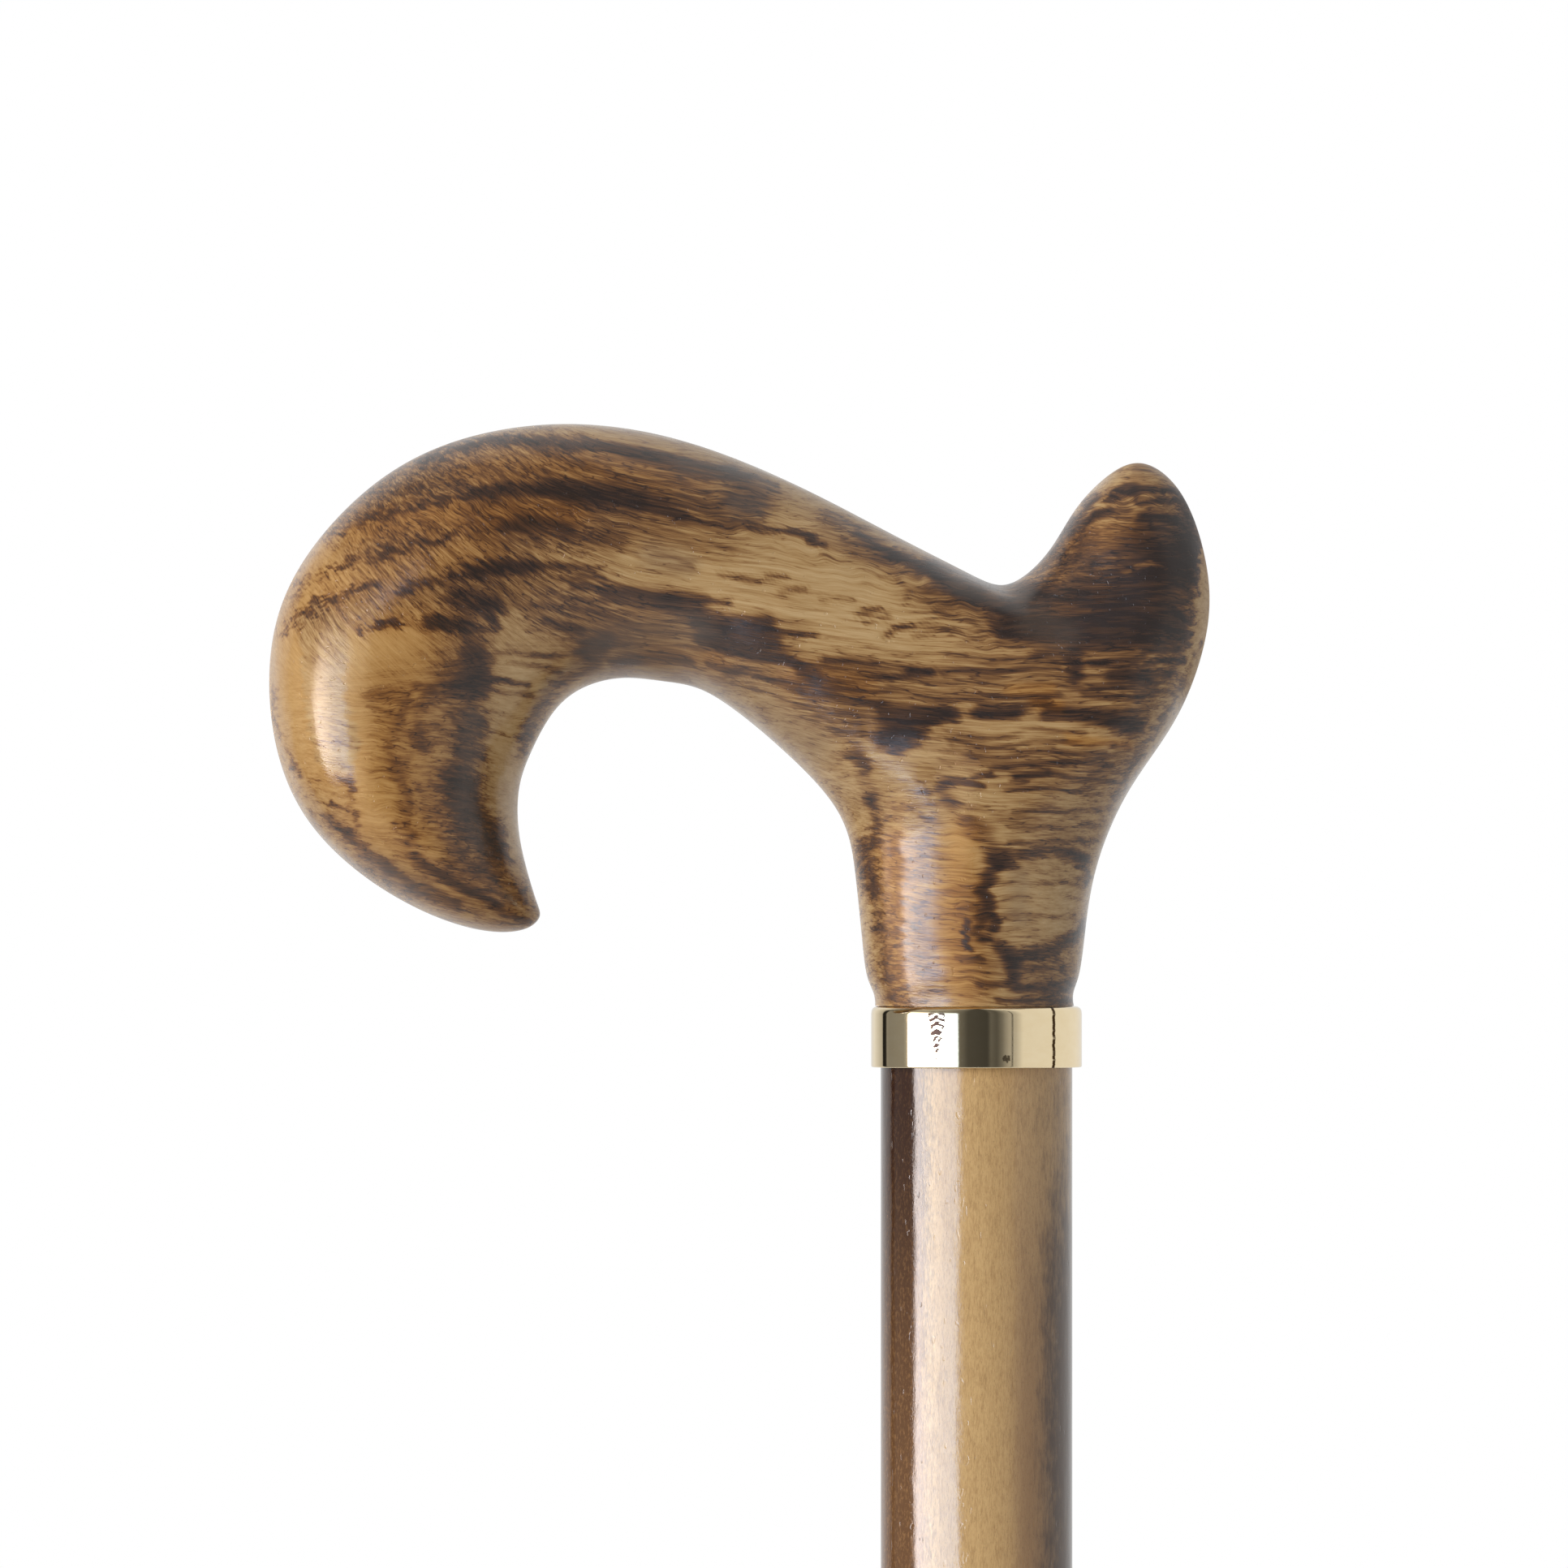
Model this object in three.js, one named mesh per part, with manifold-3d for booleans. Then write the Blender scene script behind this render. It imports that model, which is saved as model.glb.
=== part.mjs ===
// A wooden walking stick: a carved derby handle, a brass collar, a steel joining stud, a tapered shaft
// and a rubber ferrule with a steel washer in it.
// Millimetres, +Z up. The origin is the middle of the ferrule's flat sole, where the stick meets the
// floor. The handle's nose points along -X and its tail along +X.
import * as THREE from "three";
import { mergeVertices } from "three/addons/utils/BufferGeometryUtils.js";
import Module from "manifold-3d";

const wasm = await Module();
wasm.setup();

// Driving dimensions
const STICK_HEIGHT = 920; // floor to the highest point of the handle
const HANDLE_LENGTH = 108; // nose to tail
const HANDLE_HEIGHT = 66.7; // collar's top edge to the highest point of the handle
const HANDLE_WIDTH = 30; // across the nose, its widest place
const STEM_SHARE = 0.7528; // where the shaft's axis crosses the handle's length, from the nose
const SHAFT_TOP_DIAMETER = 22;
const SHAFT_TIP_DIAMETER = 17;
const SHAFT_STRAIGHT = 150; // length below the collar that keeps the full diameter
const SHAFT_TIP_LAND = 32; // parallel end that the ferrule grips
const SHAFT_TIP_CHAMFER = 1;
const COLLAR_HEIGHT = 7;
const COLLAR_WALL = 1.05;
const COLLAR_TOP_ROUND = 0.75;
const COLLAR_FOOT_CHAMFER = 0.15;

// The joining stud, a hanger bolt with a wood thread at both ends
const STUD_DIAMETER = 8; // over the thread
const STUD_CORE_DIAMETER = 6.2;
const STUD_LENGTH = 72;
const STUD_PLAIN = 10; // unthreaded middle
const STUD_POINT = 2.5; // tapered lead at each end
const THREAD_PITCH = 3;
const THREAD_CREST_SHARE = 0.17; // flat top of the thread, of its pitch
const BORE_SPARE = 2; // bore depth beyond each end of the stud

// The ferrule and its washer
const FERRULE_HEIGHT = 38;
const FERRULE_SOLE = 8; // rubber under the washer
const FERRULE_FLANGE_DIAMETER = 34;
const FERRULE_FLANGE_HEIGHT = 6;
const FERRULE_FLANGE_ROUND = 1.5;
const FERRULE_WALL = 3; // at the waist
const FERRULE_RIM_WALL = 3.9;
const FERRULE_RIM_HEIGHT = 4;
const FERRULE_RIB_HEIGHT = 2.4;
const FERRULE_RIB_PITCH = 5;
const FERRULE_RIB_PROUD = 0.8;
const FERRULE_RIBS = 4;
const FERRULE_MOUTH_CHAMFER = 0.8;
const TREAD_PAD_DIAMETER = 9; // solid middle of the sole
const TREAD_GROOVE_WIDTH = 2.4;
const TREAD_RING_WIDTH = 2.6;
const TREAD_DEPTH = 1.6;
const TREAD_RINGS = 2;
const WASHER_THICKNESS = 1.2;
const WASHER_LIP = 1; // how far the washer reaches into the rubber past the socket wall

// Clearances
const FIT_GAP = 0.05; // wood in the collar, stud in its bores, washer in the rubber
const SEAT_GAP = 0.05; // between faces that bear on each other
const SLIDE_GAP = 0.1; // ferrule on the shaft, which pulls off
const OVERRUN = 5; // how far a cutter runs past what it cuts

// Facets
const ROUND_SIDES = 48;
const SMALL_SIDES = 24;
const STUD_SIDES = 12;
const ROUND_STEPS = 3;
const ROWS_PER_PITCH = 6;
const RING_POINTS = 8; // points round one ring of the handle's control cage
const FIT_PASSES = 60;
const SUBDIVISIONS = 2;

// Levels and radii that follow from the sizes above
const shaftTopRadius = SHAFT_TOP_DIAMETER / 2;
const shaftTipRadius = SHAFT_TIP_DIAMETER / 2;
const studRadius = STUD_DIAMETER / 2;
const studCoreRadius = STUD_CORE_DIAMETER / 2;
const boreRadius = studRadius + FIT_GAP;
const collarTop = STICK_HEIGHT - HANDLE_HEIGHT;
const collarFoot = collarTop - COLLAR_HEIGHT;
const jointLevel = collarFoot + COLLAR_HEIGHT / 2;
const washerFoot = FERRULE_SOLE + SEAT_GAP;
const shaftFoot = washerFoot + WASHER_THICKNESS + SEAT_GAP;
const boreDepth = STUD_LENGTH / 2 + BORE_SPARE;

// Materials
const material = (color, roughness, metalness) =>
  new THREE.MeshStandardMaterial({ color, roughness, metalness });
const handleWood = material(0x8a6234, 0.35, 0);
const shaftWood = material(0x9c7c4c, 0.35, 0);
const brass = material(0xd9bd72, 0.15, 1);
const steel = material(0x9a9da0, 0.4, 1);
const rubber = material(0x1c1a19, 0.8, 0);

// The profile's points are [radius, height], from the axis round the section and back to the axis.
function turned(profile, sides) {
  const points = profile.map(([radius, height]) => new THREE.Vector2(radius, height));
  return new THREE.LatheGeometry(points, sides).rotateX(Math.PI / 2);
}

// Points of a quarter round between two directions, given in degrees from the radial direction.
function roundedEdge(radius, height, round, from, to) {
  return Array.from({ length: ROUND_STEPS + 1 }, (_, i) => {
    const angle = THREE.MathUtils.degToRad(from + ((to - from) * i) / ROUND_STEPS);
    return [radius + round * Math.cos(angle), height + round * Math.sin(angle)];
  });
}

function closedSolid(geometry) {
  const bare = geometry.clone();
  bare.deleteAttribute("normal");
  bare.deleteAttribute("uv");
  const merged = mergeVertices(bare, FIT_GAP / 100);
  return new wasm.Manifold(
    new wasm.Mesh({
      numProp: 3,
      vertProperties: new Float32Array(merged.attributes.position.array),
      triVerts: new Uint32Array(merged.index.array),
    }),
  );
}

function geometryOf(solid) {
  const mesh = solid.getMesh();
  const geometry = new THREE.BufferGeometry();
  geometry.setAttribute("position", new THREE.BufferAttribute(mesh.vertProperties, 3));
  geometry.setIndex(new THREE.BufferAttribute(mesh.triVerts, 1));
  geometry.computeVertexNormals();
  return geometry;
}

function cylinder(radius, foot, top, sides) {
  return turned([[0, foot], [radius, foot], [radius, top], [0, top]], sides);
}

// The handle's limb runs from the beak's tip, round the nose and along the back to the tail's tip.
// A ring lies on the line from the outer outline to the inner one: [outer x, outer z, inner x, inner z,
// half width, how far in the widest place lies, fullness of the outer shoulder, of the inner one].
// x is a share of HANDLE_LENGTH from the nose, z of HANDLE_HEIGHT from the collar, and the half width
// of half of HANDLE_WIDTH. A fullness of 0.69 makes that shoulder an ellipse.
const beakTipShares = [0.288, 0.152];
const limbRingShares = [
  [0.267, 0.13, 0.285, 0.181, 0.2, 0.5, 0.7, 0.7],
  [0.211, 0.136, 0.274, 0.24, 0.48, 0.5, 0.72, 0.66],
  [0.128, 0.195, 0.266, 0.307, 0.76, 0.48, 0.74, 0.6],
  [0.048, 0.307, 0.267, 0.377, 0.93, 0.44, 0.76, 0.56],
  [0.007, 0.458, 0.28, 0.439, 1, 0.42, 0.76, 0.56],
  [0.005, 0.634, 0.302, 0.503, 1, 0.42, 0.76, 0.58],
  [0.047, 0.788, 0.333, 0.546, 0.99, 0.44, 0.76, 0.6],
  [0.134, 0.922, 0.375, 0.564, 0.97, 0.45, 0.76, 0.62],
  [0.241, 0.989, 0.418, 0.559, 0.94, 0.46, 0.76, 0.64],
  [0.349, 0.999, 0.459, 0.545, 0.91, 0.47, 0.76, 0.66],
  [0.457, 0.964, 0.501, 0.503, 0.88, 0.48, 0.76, 0.7],
  [0.565, 0.893, 0.55, 0.436, 0.86, 0.5, 0.76, 0.76],
  [0.659, 0.815, 0.751, 0.381, 0.86, 0.5, 0.76, 0.99],
  [0.741, 0.747, 0.934, 0.418, 0.86, 0.5, 0.76, 0.86],
  [0.787, 0.726, 0.972, 0.517, 0.84, 0.5, 0.76, 0.82],
  [0.828, 0.779, 0.998, 0.649, 0.79, 0.5, 0.74, 0.82],
  [0.858, 0.854, 0.996, 0.768, 0.69, 0.5, 0.72, 0.8],
  [0.895, 0.915, 0.972, 0.877, 0.46, 0.5, 0.7, 0.74],
];
const tailTipShares = [0.933, 0.932];
const STEM_LEFT_RING = 11; // the stem grows out of the limb from this ring to the second one after it
const SHOULDER_SHARE = 0.72; // how far a shoulder lies from the widest place towards the outline

// The stem's rings, from the limb down to the collar: [height, reach to the nose side, reach to the tail
// side, half width]. The height is a share of HANDLE_HEIGHT, the rest of the shaft's top radius.
const stemRingShares = [
  [0.335, 1.449, 1.475, 1.15],
  [0.224, 1.263, 1.229, 1.12],
  [0.111, 1.192, 1.122, 1.09],
  [0.046, 1.132, 1.056, 1.06],
  [0.005, 1.058, 1.011, 1.03],
  [-0.05, 0.93, 0.94, 0.94],
];
const ROUND_SHARE = Math.SQRT1_2; // a circle's point halfway between two of its quarter points

const alongHandle = (share) => HANDLE_LENGTH * (share - STEM_SHARE);
const upHandle = (share) => collarTop + HANDLE_HEIGHT * share;

function limbRing([outerX, outerZ, innerX, innerZ, width, widest, outerFull, innerFull]) {
  const outer = new THREE.Vector3(alongHandle(outerX), 0, upHandle(outerZ));
  const inner = new THREE.Vector3(alongHandle(innerX), 0, upHandle(innerZ));
  const middle = outer.clone().lerp(inner, widest);
  const halfWidth = (HANDLE_WIDTH / 2) * width;
  const across = (point, y) => new THREE.Vector3(point.x, y, point.z);
  const outerShoulder = middle.clone().lerp(outer, SHOULDER_SHARE);
  const innerShoulder = middle.clone().lerp(inner, SHOULDER_SHARE);
  return [
    outer,
    across(outerShoulder, -halfWidth * outerFull),
    across(middle, -halfWidth),
    across(innerShoulder, -halfWidth * innerFull),
    inner,
    across(innerShoulder, halfWidth * innerFull),
    across(middle, halfWidth),
    across(outerShoulder, halfWidth * outerFull),
  ];
}

function stemRing([height, noseSide, tailSide, width]) {
  const left = -shaftTopRadius * noseSide;
  const right = shaftTopRadius * tailSide;
  const middle = (left + right) / 2;
  const reach = (right - left) / 2;
  const halfWidth = shaftTopRadius * width;
  const at = (x, y) => new THREE.Vector3(middle + reach * x, halfWidth * y, upHandle(height));
  return [
    at(-1, 0),
    at(-ROUND_SHARE, -ROUND_SHARE),
    at(0, -1),
    at(ROUND_SHARE, -ROUND_SHARE),
    at(1, 0),
    at(ROUND_SHARE, ROUND_SHARE),
    at(0, 1),
    at(-ROUND_SHARE, ROUND_SHARE),
  ];
}

// A cage of four-sided faces through the stated points: the limb's rings, the stem's rings hung from
// the loop that the limb leaves open, and a cap of four faces on each end.
function handleCage() {
  const points = [];
  const faces = [];
  const add = (point) => points.push(point) - 1;
  const ringOf = (ring) => ring.map(add);
  const next = (k) => (k + 1) % RING_POINTS;
  const left = STEM_LEFT_RING;
  const middle = left + 1;
  const right = left + 2;

  const limb = limbRingShares.map((shares, i) =>
    limbRing(shares).map((point, k) => (i === middle && k === 4 ? -1 : add(point))),
  );
  for (let i = 0; i + 1 < limb.length; i++)
    for (let k = 0; k < RING_POINTS; k++) {
      const open = (i === left || i === middle) && (k === 3 || k === 4);
      if (!open)
        faces.push([limb[i][k], limb[i][next(k)], limb[i + 1][next(k)], limb[i + 1][k]]);
    }

  const [a, b, c] = [limb[left], limb[middle], limb[right]];
  const loop = [a[4], a[3], b[3], c[3], c[4], c[5], b[5], a[5]];
  const stem = [loop, ...stemRingShares.map((shares) => ringOf(stemRing(shares)))];
  for (let i = 0; i + 1 < stem.length; i++)
    for (let k = 0; k < RING_POINTS; k++)
      faces.push([stem[i][k], stem[i + 1][k], stem[i + 1][next(k)], stem[i][next(k)]]);

  const cap = (ring, centre, way) => {
    const hub = add(centre);
    const at = (k) => ring[(k + RING_POINTS) % RING_POINTS];
    for (let k = 0; k < RING_POINTS; k += 2)
      faces.push([hub, at(k), at(k + way), at(k + 2 * way)]);
  };
  const tip = ([x, z]) => new THREE.Vector3(alongHandle(x), 0, upHandle(z));
  const lastStem = stem[stem.length - 1];
  cap(limb[0], tip(beakTipShares), -1);
  cap(limb[limb.length - 1], tip(tailTipShares), 1);
  cap(lastStem, new THREE.Vector3(0, 0, points[lastStem[0]].z), -1);
  return { points, faces };
}

// Catmull-Clark limit positions: every point is drawn towards its edge and corner neighbours.
function limitPoints({ points, faces }) {
  const valence = points.map(() => 0);
  const edgeSum = points.map(() => new THREE.Vector3());
  const cornerSum = points.map(() => new THREE.Vector3());
  for (const face of faces)
    face.forEach((v, k) => {
      valence[v]++;
      edgeSum[v].add(points[face[(k + 1) % 4]]);
      cornerSum[v].add(points[face[(k + 2) % 4]]);
    });
  return points.map((point, v) => {
    const n = valence[v];
    return point
      .clone()
      .multiplyScalar(n * n)
      .addScaledVector(edgeSum[v], 4)
      .add(cornerSum[v])
      .divideScalar(n * (n + 5));
  });
}

// Moves the cage's points until the smooth surface passes through the places they had at first.
function fitted({ points, faces }) {
  let moved = points;
  for (let pass = 0; pass < FIT_PASSES; pass++) {
    const limit = limitPoints({ points: moved, faces });
    moved = moved.map((point, v) => point.clone().add(points[v]).sub(limit[v]));
  }
  return { points: moved, faces };
}

function subdivided({ points, faces }) {
  const average = (list) =>
    list.reduce((sum, p) => sum.add(p), new THREE.Vector3()).divideScalar(list.length);
  const facePoints = faces.map((face) => average(face.map((v) => points[v])));
  const edges = new Map();
  faces.forEach((face, f) =>
    face.forEach((v, k) => {
      const w = face[(k + 1) % 4];
      const key = v < w ? `${v},${w}` : `${w},${v}`;
      if (!edges.has(key)) edges.set(key, { ends: [v, w], faces: [] });
      edges.get(key).faces.push(f);
    }),
  );
  const around = points.map(() => ({ facePoints: [], middles: [] }));
  faces.forEach((face, f) => face.forEach((v) => around[v].facePoints.push(facePoints[f])));
  const made = [];
  for (const edge of edges.values()) {
    const ends = edge.ends.map((v) => points[v]);
    edge.ends.forEach((v) => around[v].middles.push(average(ends)));
    edge.point = average([...ends, ...edge.faces.map((f) => facePoints[f])]);
  }
  points.forEach((point, v) => {
    const n = around[v].middles.length;
    made.push(
      average(around[v].facePoints)
        .addScaledVector(average(around[v].middles), 2)
        .addScaledVector(point, n - 3)
        .divideScalar(n),
    );
  });
  const firstFace = made.push(...facePoints) - facePoints.length;
  for (const edge of edges.values()) edge.index = made.push(edge.point) - 1;
  const edgeOf = (v, w) => edges.get(v < w ? `${v},${w}` : `${w},${v}`).index;
  const quads = faces.flatMap((face, f) =>
    face.map((v, k) => [v, edgeOf(v, face[(k + 1) % 4]), firstFace + f, edgeOf(v, face[(k + 3) % 4])]),
  );
  return { points: made, faces: quads };
}

function smoothSurface(cage) {
  let mesh = fitted(cage);
  for (let i = 0; i < SUBDIVISIONS; i++) mesh = subdivided(mesh);
  const corners = limitPoints(mesh);
  const geometry = new THREE.BufferGeometry().setFromPoints(corners);
  geometry.setIndex(
    mesh.faces.flatMap(([a, b, c, d]) =>
      corners[a].distanceTo(corners[c]) < corners[b].distanceTo(corners[d])
        ? [a, b, c, a, c, d]
        : [a, b, d, b, c, d],
    ),
  );
  return geometry;
}

function handle() {
  const shoulder = collarTop + SEAT_GAP;
  const spigotFoot = jointLevel + SEAT_GAP;
  const carved = closedSolid(smoothSurface(handleCage()));
  const below = cylinder(HANDLE_WIDTH, shoulder - HANDLE_HEIGHT / 2, shoulder, SMALL_SIDES);
  const spigot = cylinder(shaftTopRadius, spigotFoot, shoulder + OVERRUN, ROUND_SIDES);
  const bore = cylinder(boreRadius, spigotFoot - OVERRUN, jointLevel + boreDepth, SMALL_SIDES);
  return geometryOf(
    carved
      .subtract(closedSolid(below))
      .add(closedSolid(spigot))
      .subtract(closedSolid(bore)),
  );
}

function collar() {
  const inner = shaftTopRadius + FIT_GAP;
  const outer = inner + COLLAR_WALL;
  const top = collarTop;
  const rounded = roundedEdge(
    outer - COLLAR_TOP_ROUND, top - COLLAR_TOP_ROUND, COLLAR_TOP_ROUND, 0, 90);
  const foot = [outer - COLLAR_FOOT_CHAMFER, collarFoot];
  return turned(
    [
      foot,
      [outer, collarFoot + COLLAR_FOOT_CHAMFER],
      ...rounded,
      [inner, top],
      [inner, collarFoot],
      foot,
    ],
    ROUND_SIDES,
  );
}

// A core with a helical ridge at each end: the radius is a function of the angle and the height.
function joiningStud() {
  const half = STUD_LENGTH / 2;
  const rise = THREAD_PITCH / ROWS_PER_PITCH;
  const rows = Math.round(STUD_LENGTH / rise);
  const ridgeDepth = studRadius - studCoreRadius;
  const radiusAt = (angle, z) => {
    const turn = z / THREAD_PITCH - angle / (2 * Math.PI);
    const slope = 1 - Math.abs(2 * (turn - Math.floor(turn)) - 1);
    const ridge = Math.min(1, slope / (1 - THREAD_CREST_SHARE));
    const fromEnd = half - Math.abs(z);
    const threaded = Math.abs(z) > STUD_PLAIN / 2 ? 1 : 0;
    const lead = Math.min(1, fromEnd / STUD_POINT);
    const core = (studCoreRadius * (1 + lead)) / 2;
    return core + ridgeDepth * ridge * threaded * lead;
  };
  const corners = [];
  for (let row = 0; row <= rows; row++)
    for (let side = 0; side < STUD_SIDES; side++) {
      const angle = (2 * Math.PI * side) / STUD_SIDES;
      const z = -half + (STUD_LENGTH * row) / rows;
      const radius = radiusAt(angle, z);
      corners.push(new THREE.Vector3(radius * Math.cos(angle), radius * Math.sin(angle), z));
    }
  const bottom = corners.push(new THREE.Vector3(0, 0, -half)) - 1;
  const top = corners.push(new THREE.Vector3(0, 0, half)) - 1;
  const index = [];
  for (let side = 0; side < STUD_SIDES; side++) {
    const beside = (side + 1) % STUD_SIDES;
    for (let row = 0; row < rows; row++) {
      const [low, high] = [row * STUD_SIDES, (row + 1) * STUD_SIDES];
      index.push(low + side, low + beside, high + beside);
      index.push(low + side, high + beside, high + side);
    }
    const last = rows * STUD_SIDES;
    index.push(bottom, beside, side, top, last + side, last + beside);
  }
  const geometry = new THREE.BufferGeometry().setFromPoints(corners);
  return geometry.setIndex(index);
}

function shaft() {
  const top = jointLevel;
  const boreFloor = jointLevel - boreDepth;
  return turned(
    [
      [0, shaftFoot],
      [shaftTipRadius - SHAFT_TIP_CHAMFER, shaftFoot],
      [shaftTipRadius, shaftFoot + SHAFT_TIP_CHAMFER],
      [shaftTipRadius, shaftFoot + SHAFT_TIP_LAND],
      [shaftTopRadius, collarFoot - SHAFT_STRAIGHT],
      [shaftTopRadius, top],
      [boreRadius, top],
      [boreRadius, boreFloor],
      [0, boreFloor],
    ],
    ROUND_SIDES,
  );
}

function ferrule() {
  const socket = shaftTipRadius + SLIDE_GAP;
  const waist = socket + FERRULE_WALL;
  const rim = socket + FERRULE_RIM_WALL;
  const flange = FERRULE_FLANGE_DIAMETER / 2;
  const recess = socket + WASHER_LIP + FIT_GAP;
  const recessTop = washerFoot + WASHER_THICKNESS + FIT_GAP;
  const rimFoot = FERRULE_HEIGHT - FERRULE_RIM_HEIGHT;
  const tread = [];
  for (let ring = 0; ring < TREAD_RINGS; ring++) {
    const start = TREAD_PAD_DIAMETER / 2 + ring * (TREAD_GROOVE_WIDTH + TREAD_RING_WIDTH);
    const end = start + TREAD_GROOVE_WIDTH;
    tread.push([start, 0], [start, TREAD_DEPTH], [end, TREAD_DEPTH], [end, 0]);
  }
  const edge = roundedEdge(
    flange - FERRULE_FLANGE_ROUND,
    FERRULE_FLANGE_HEIGHT - FERRULE_FLANGE_ROUND,
    FERRULE_FLANGE_ROUND,
    0,
    90,
  );
  const ribs = [];
  for (let rib = 0; rib < FERRULE_RIBS; rib++) {
    const foot = rimFoot - (FERRULE_RIBS - rib) * FERRULE_RIB_PITCH;
    const crown = waist + FERRULE_RIB_PROUD;
    const slope = FERRULE_RIB_HEIGHT / 3;
    ribs.push([waist, foot], [crown, foot + slope]);
    ribs.push([crown, foot + 2 * slope], [waist, foot + FERRULE_RIB_HEIGHT]);
  }
  return turned(
    [
      [0, 0],
      ...tread,
      [flange - FERRULE_FLANGE_ROUND / 2, 0],
      [flange, FERRULE_FLANGE_ROUND / 2],
      ...edge,
      [waist + FERRULE_RIB_PROUD, FERRULE_FLANGE_HEIGHT + FERRULE_FLANGE_ROUND],
      ...ribs,
      [waist, rimFoot],
      [rim, rimFoot + FERRULE_MOUTH_CHAMFER],
      [rim, FERRULE_HEIGHT - FERRULE_MOUTH_CHAMFER],
      [rim - FERRULE_MOUTH_CHAMFER, FERRULE_HEIGHT],
      [socket + FERRULE_MOUTH_CHAMFER, FERRULE_HEIGHT],
      [socket, FERRULE_HEIGHT - FERRULE_MOUTH_CHAMFER],
      [socket, recessTop],
      [recess, recessTop],
      [recess, FERRULE_SOLE],
      [0, FERRULE_SOLE],
    ],
    ROUND_SIDES,
  );
}

function washer() {
  const radius = shaftTipRadius + SLIDE_GAP + WASHER_LIP;
  return cylinder(radius, washerFoot, washerFoot + WASHER_THICKNESS, ROUND_SIDES);
}

const stick = new THREE.Group();
function place(name, geometry, finish, height = 0) {
  const mesh = new THREE.Mesh(geometry, finish);
  mesh.name = name;
  mesh.position.z = height;
  stick.add(mesh);
}
place("handle", handle(), handleWood);
place("collar", collar(), brass);
place("joining_stud", joiningStud(), steel, jointLevel);
place("shaft", shaft(), shaftWood);
place("ferrule", ferrule(), rubber);
place("ferrule_washer", washer(), steel);

export default stick;
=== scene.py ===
"""A wooden walking stick: a scorched and lacquered derby handle, a polished brass collar, a stained
shaft and a ribbed rubber ferrule. Metres, +Z up. The handle's nose points along -X."""
import math

import bmesh
import bpy
import numpy as np
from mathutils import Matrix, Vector, noise


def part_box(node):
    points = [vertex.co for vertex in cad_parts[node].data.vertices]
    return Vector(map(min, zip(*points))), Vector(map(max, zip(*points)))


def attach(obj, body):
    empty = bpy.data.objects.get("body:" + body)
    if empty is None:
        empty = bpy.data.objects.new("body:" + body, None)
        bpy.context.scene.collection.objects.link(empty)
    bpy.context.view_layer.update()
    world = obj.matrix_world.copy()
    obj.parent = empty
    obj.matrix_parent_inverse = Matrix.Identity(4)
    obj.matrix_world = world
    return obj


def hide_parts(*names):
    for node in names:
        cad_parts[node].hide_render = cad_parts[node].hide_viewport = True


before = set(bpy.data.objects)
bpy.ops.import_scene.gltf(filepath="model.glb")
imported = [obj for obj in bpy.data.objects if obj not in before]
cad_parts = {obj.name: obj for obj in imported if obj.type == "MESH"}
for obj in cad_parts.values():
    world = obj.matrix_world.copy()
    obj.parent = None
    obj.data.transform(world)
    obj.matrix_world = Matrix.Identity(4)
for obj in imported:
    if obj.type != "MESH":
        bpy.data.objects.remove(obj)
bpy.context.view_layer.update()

bl_info = {
    "name": "Walking Stick",
    "version": (1, 0, 0),
    "blender": (4, 5, 0),
    "location": "View3D > Sidebar > Stick",
    "description": "Builds a wooden walking stick with a derby handle, a brass collar and a rubber ferrule",
    "category": "Object",
}

MM = 0.001
TINY = MM / 1000
HANDLE_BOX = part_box("handle")
COLLAR_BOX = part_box("collar")
SHAFT_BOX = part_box("shaft")
FERRULE_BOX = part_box("ferrule")
WASHER_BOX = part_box("ferrule_washer")
STUD_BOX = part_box("joining_stud")

# Levels and radii that the solids give
COLLAR_TOP = COLLAR_BOX[1].z
COLLAR_FOOT = COLLAR_BOX[0].z
STICK_TOP = HANDLE_BOX[1].z
SHAFT_FOOT = SHAFT_BOX[0].z
SHAFT_TOP = SHAFT_BOX[1].z
SHAFT_RADIUS = SHAFT_BOX[1].x
COLLAR_RADIUS = COLLAR_BOX[1].x
FLANGE_RADIUS = FERRULE_BOX[1].x
FERRULE_TOP = FERRULE_BOX[1].z
WASHER_RADIUS = WASHER_BOX[1].x

# The photograph's frame: its width on the stick's own plane, its centre there, and the camera's place
FRAME_WIDTH = 0.180
FRAME_CENTRE = (-0.0221, 0.8788)
CAMERA_DISTANCE = 2.5
CAMERA_LENS = 500

SEAT_GAP = 0.05 * MM  # between pieces that seat in or on each other
BORE_OVERRUN = 2 * MM  # how far the bores run past the stud's ends
SHARP_ANGLE = 38  # degrees between faces, above which their edge stays crisp


def paint(red, green, blue):
    """A colour as a paint chart gives it, 0 to 255, in the linear values that Blender's sockets take."""
    def linear(part):
        share = part / 255
        return share / 12.92 if share <= 0.04045 else ((share + 0.055) / 1.055) ** 2.4
    return (linear(red), linear(green), linear(blue))


def colour_property(name, description, default):
    return bpy.props.FloatVectorProperty(
        name=name, description=description, default=default, size=3, min=0, max=1, subtype="COLOR")


def length_property(name, description, default):
    return bpy.props.FloatProperty(
        name=name, description=description, default=default, min=0, unit="LENGTH", precision=4)


def share_property(name, description, default):
    return bpy.props.FloatProperty(
        name=name, description=description, default=default, min=0, max=1, subtype="FACTOR")


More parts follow.
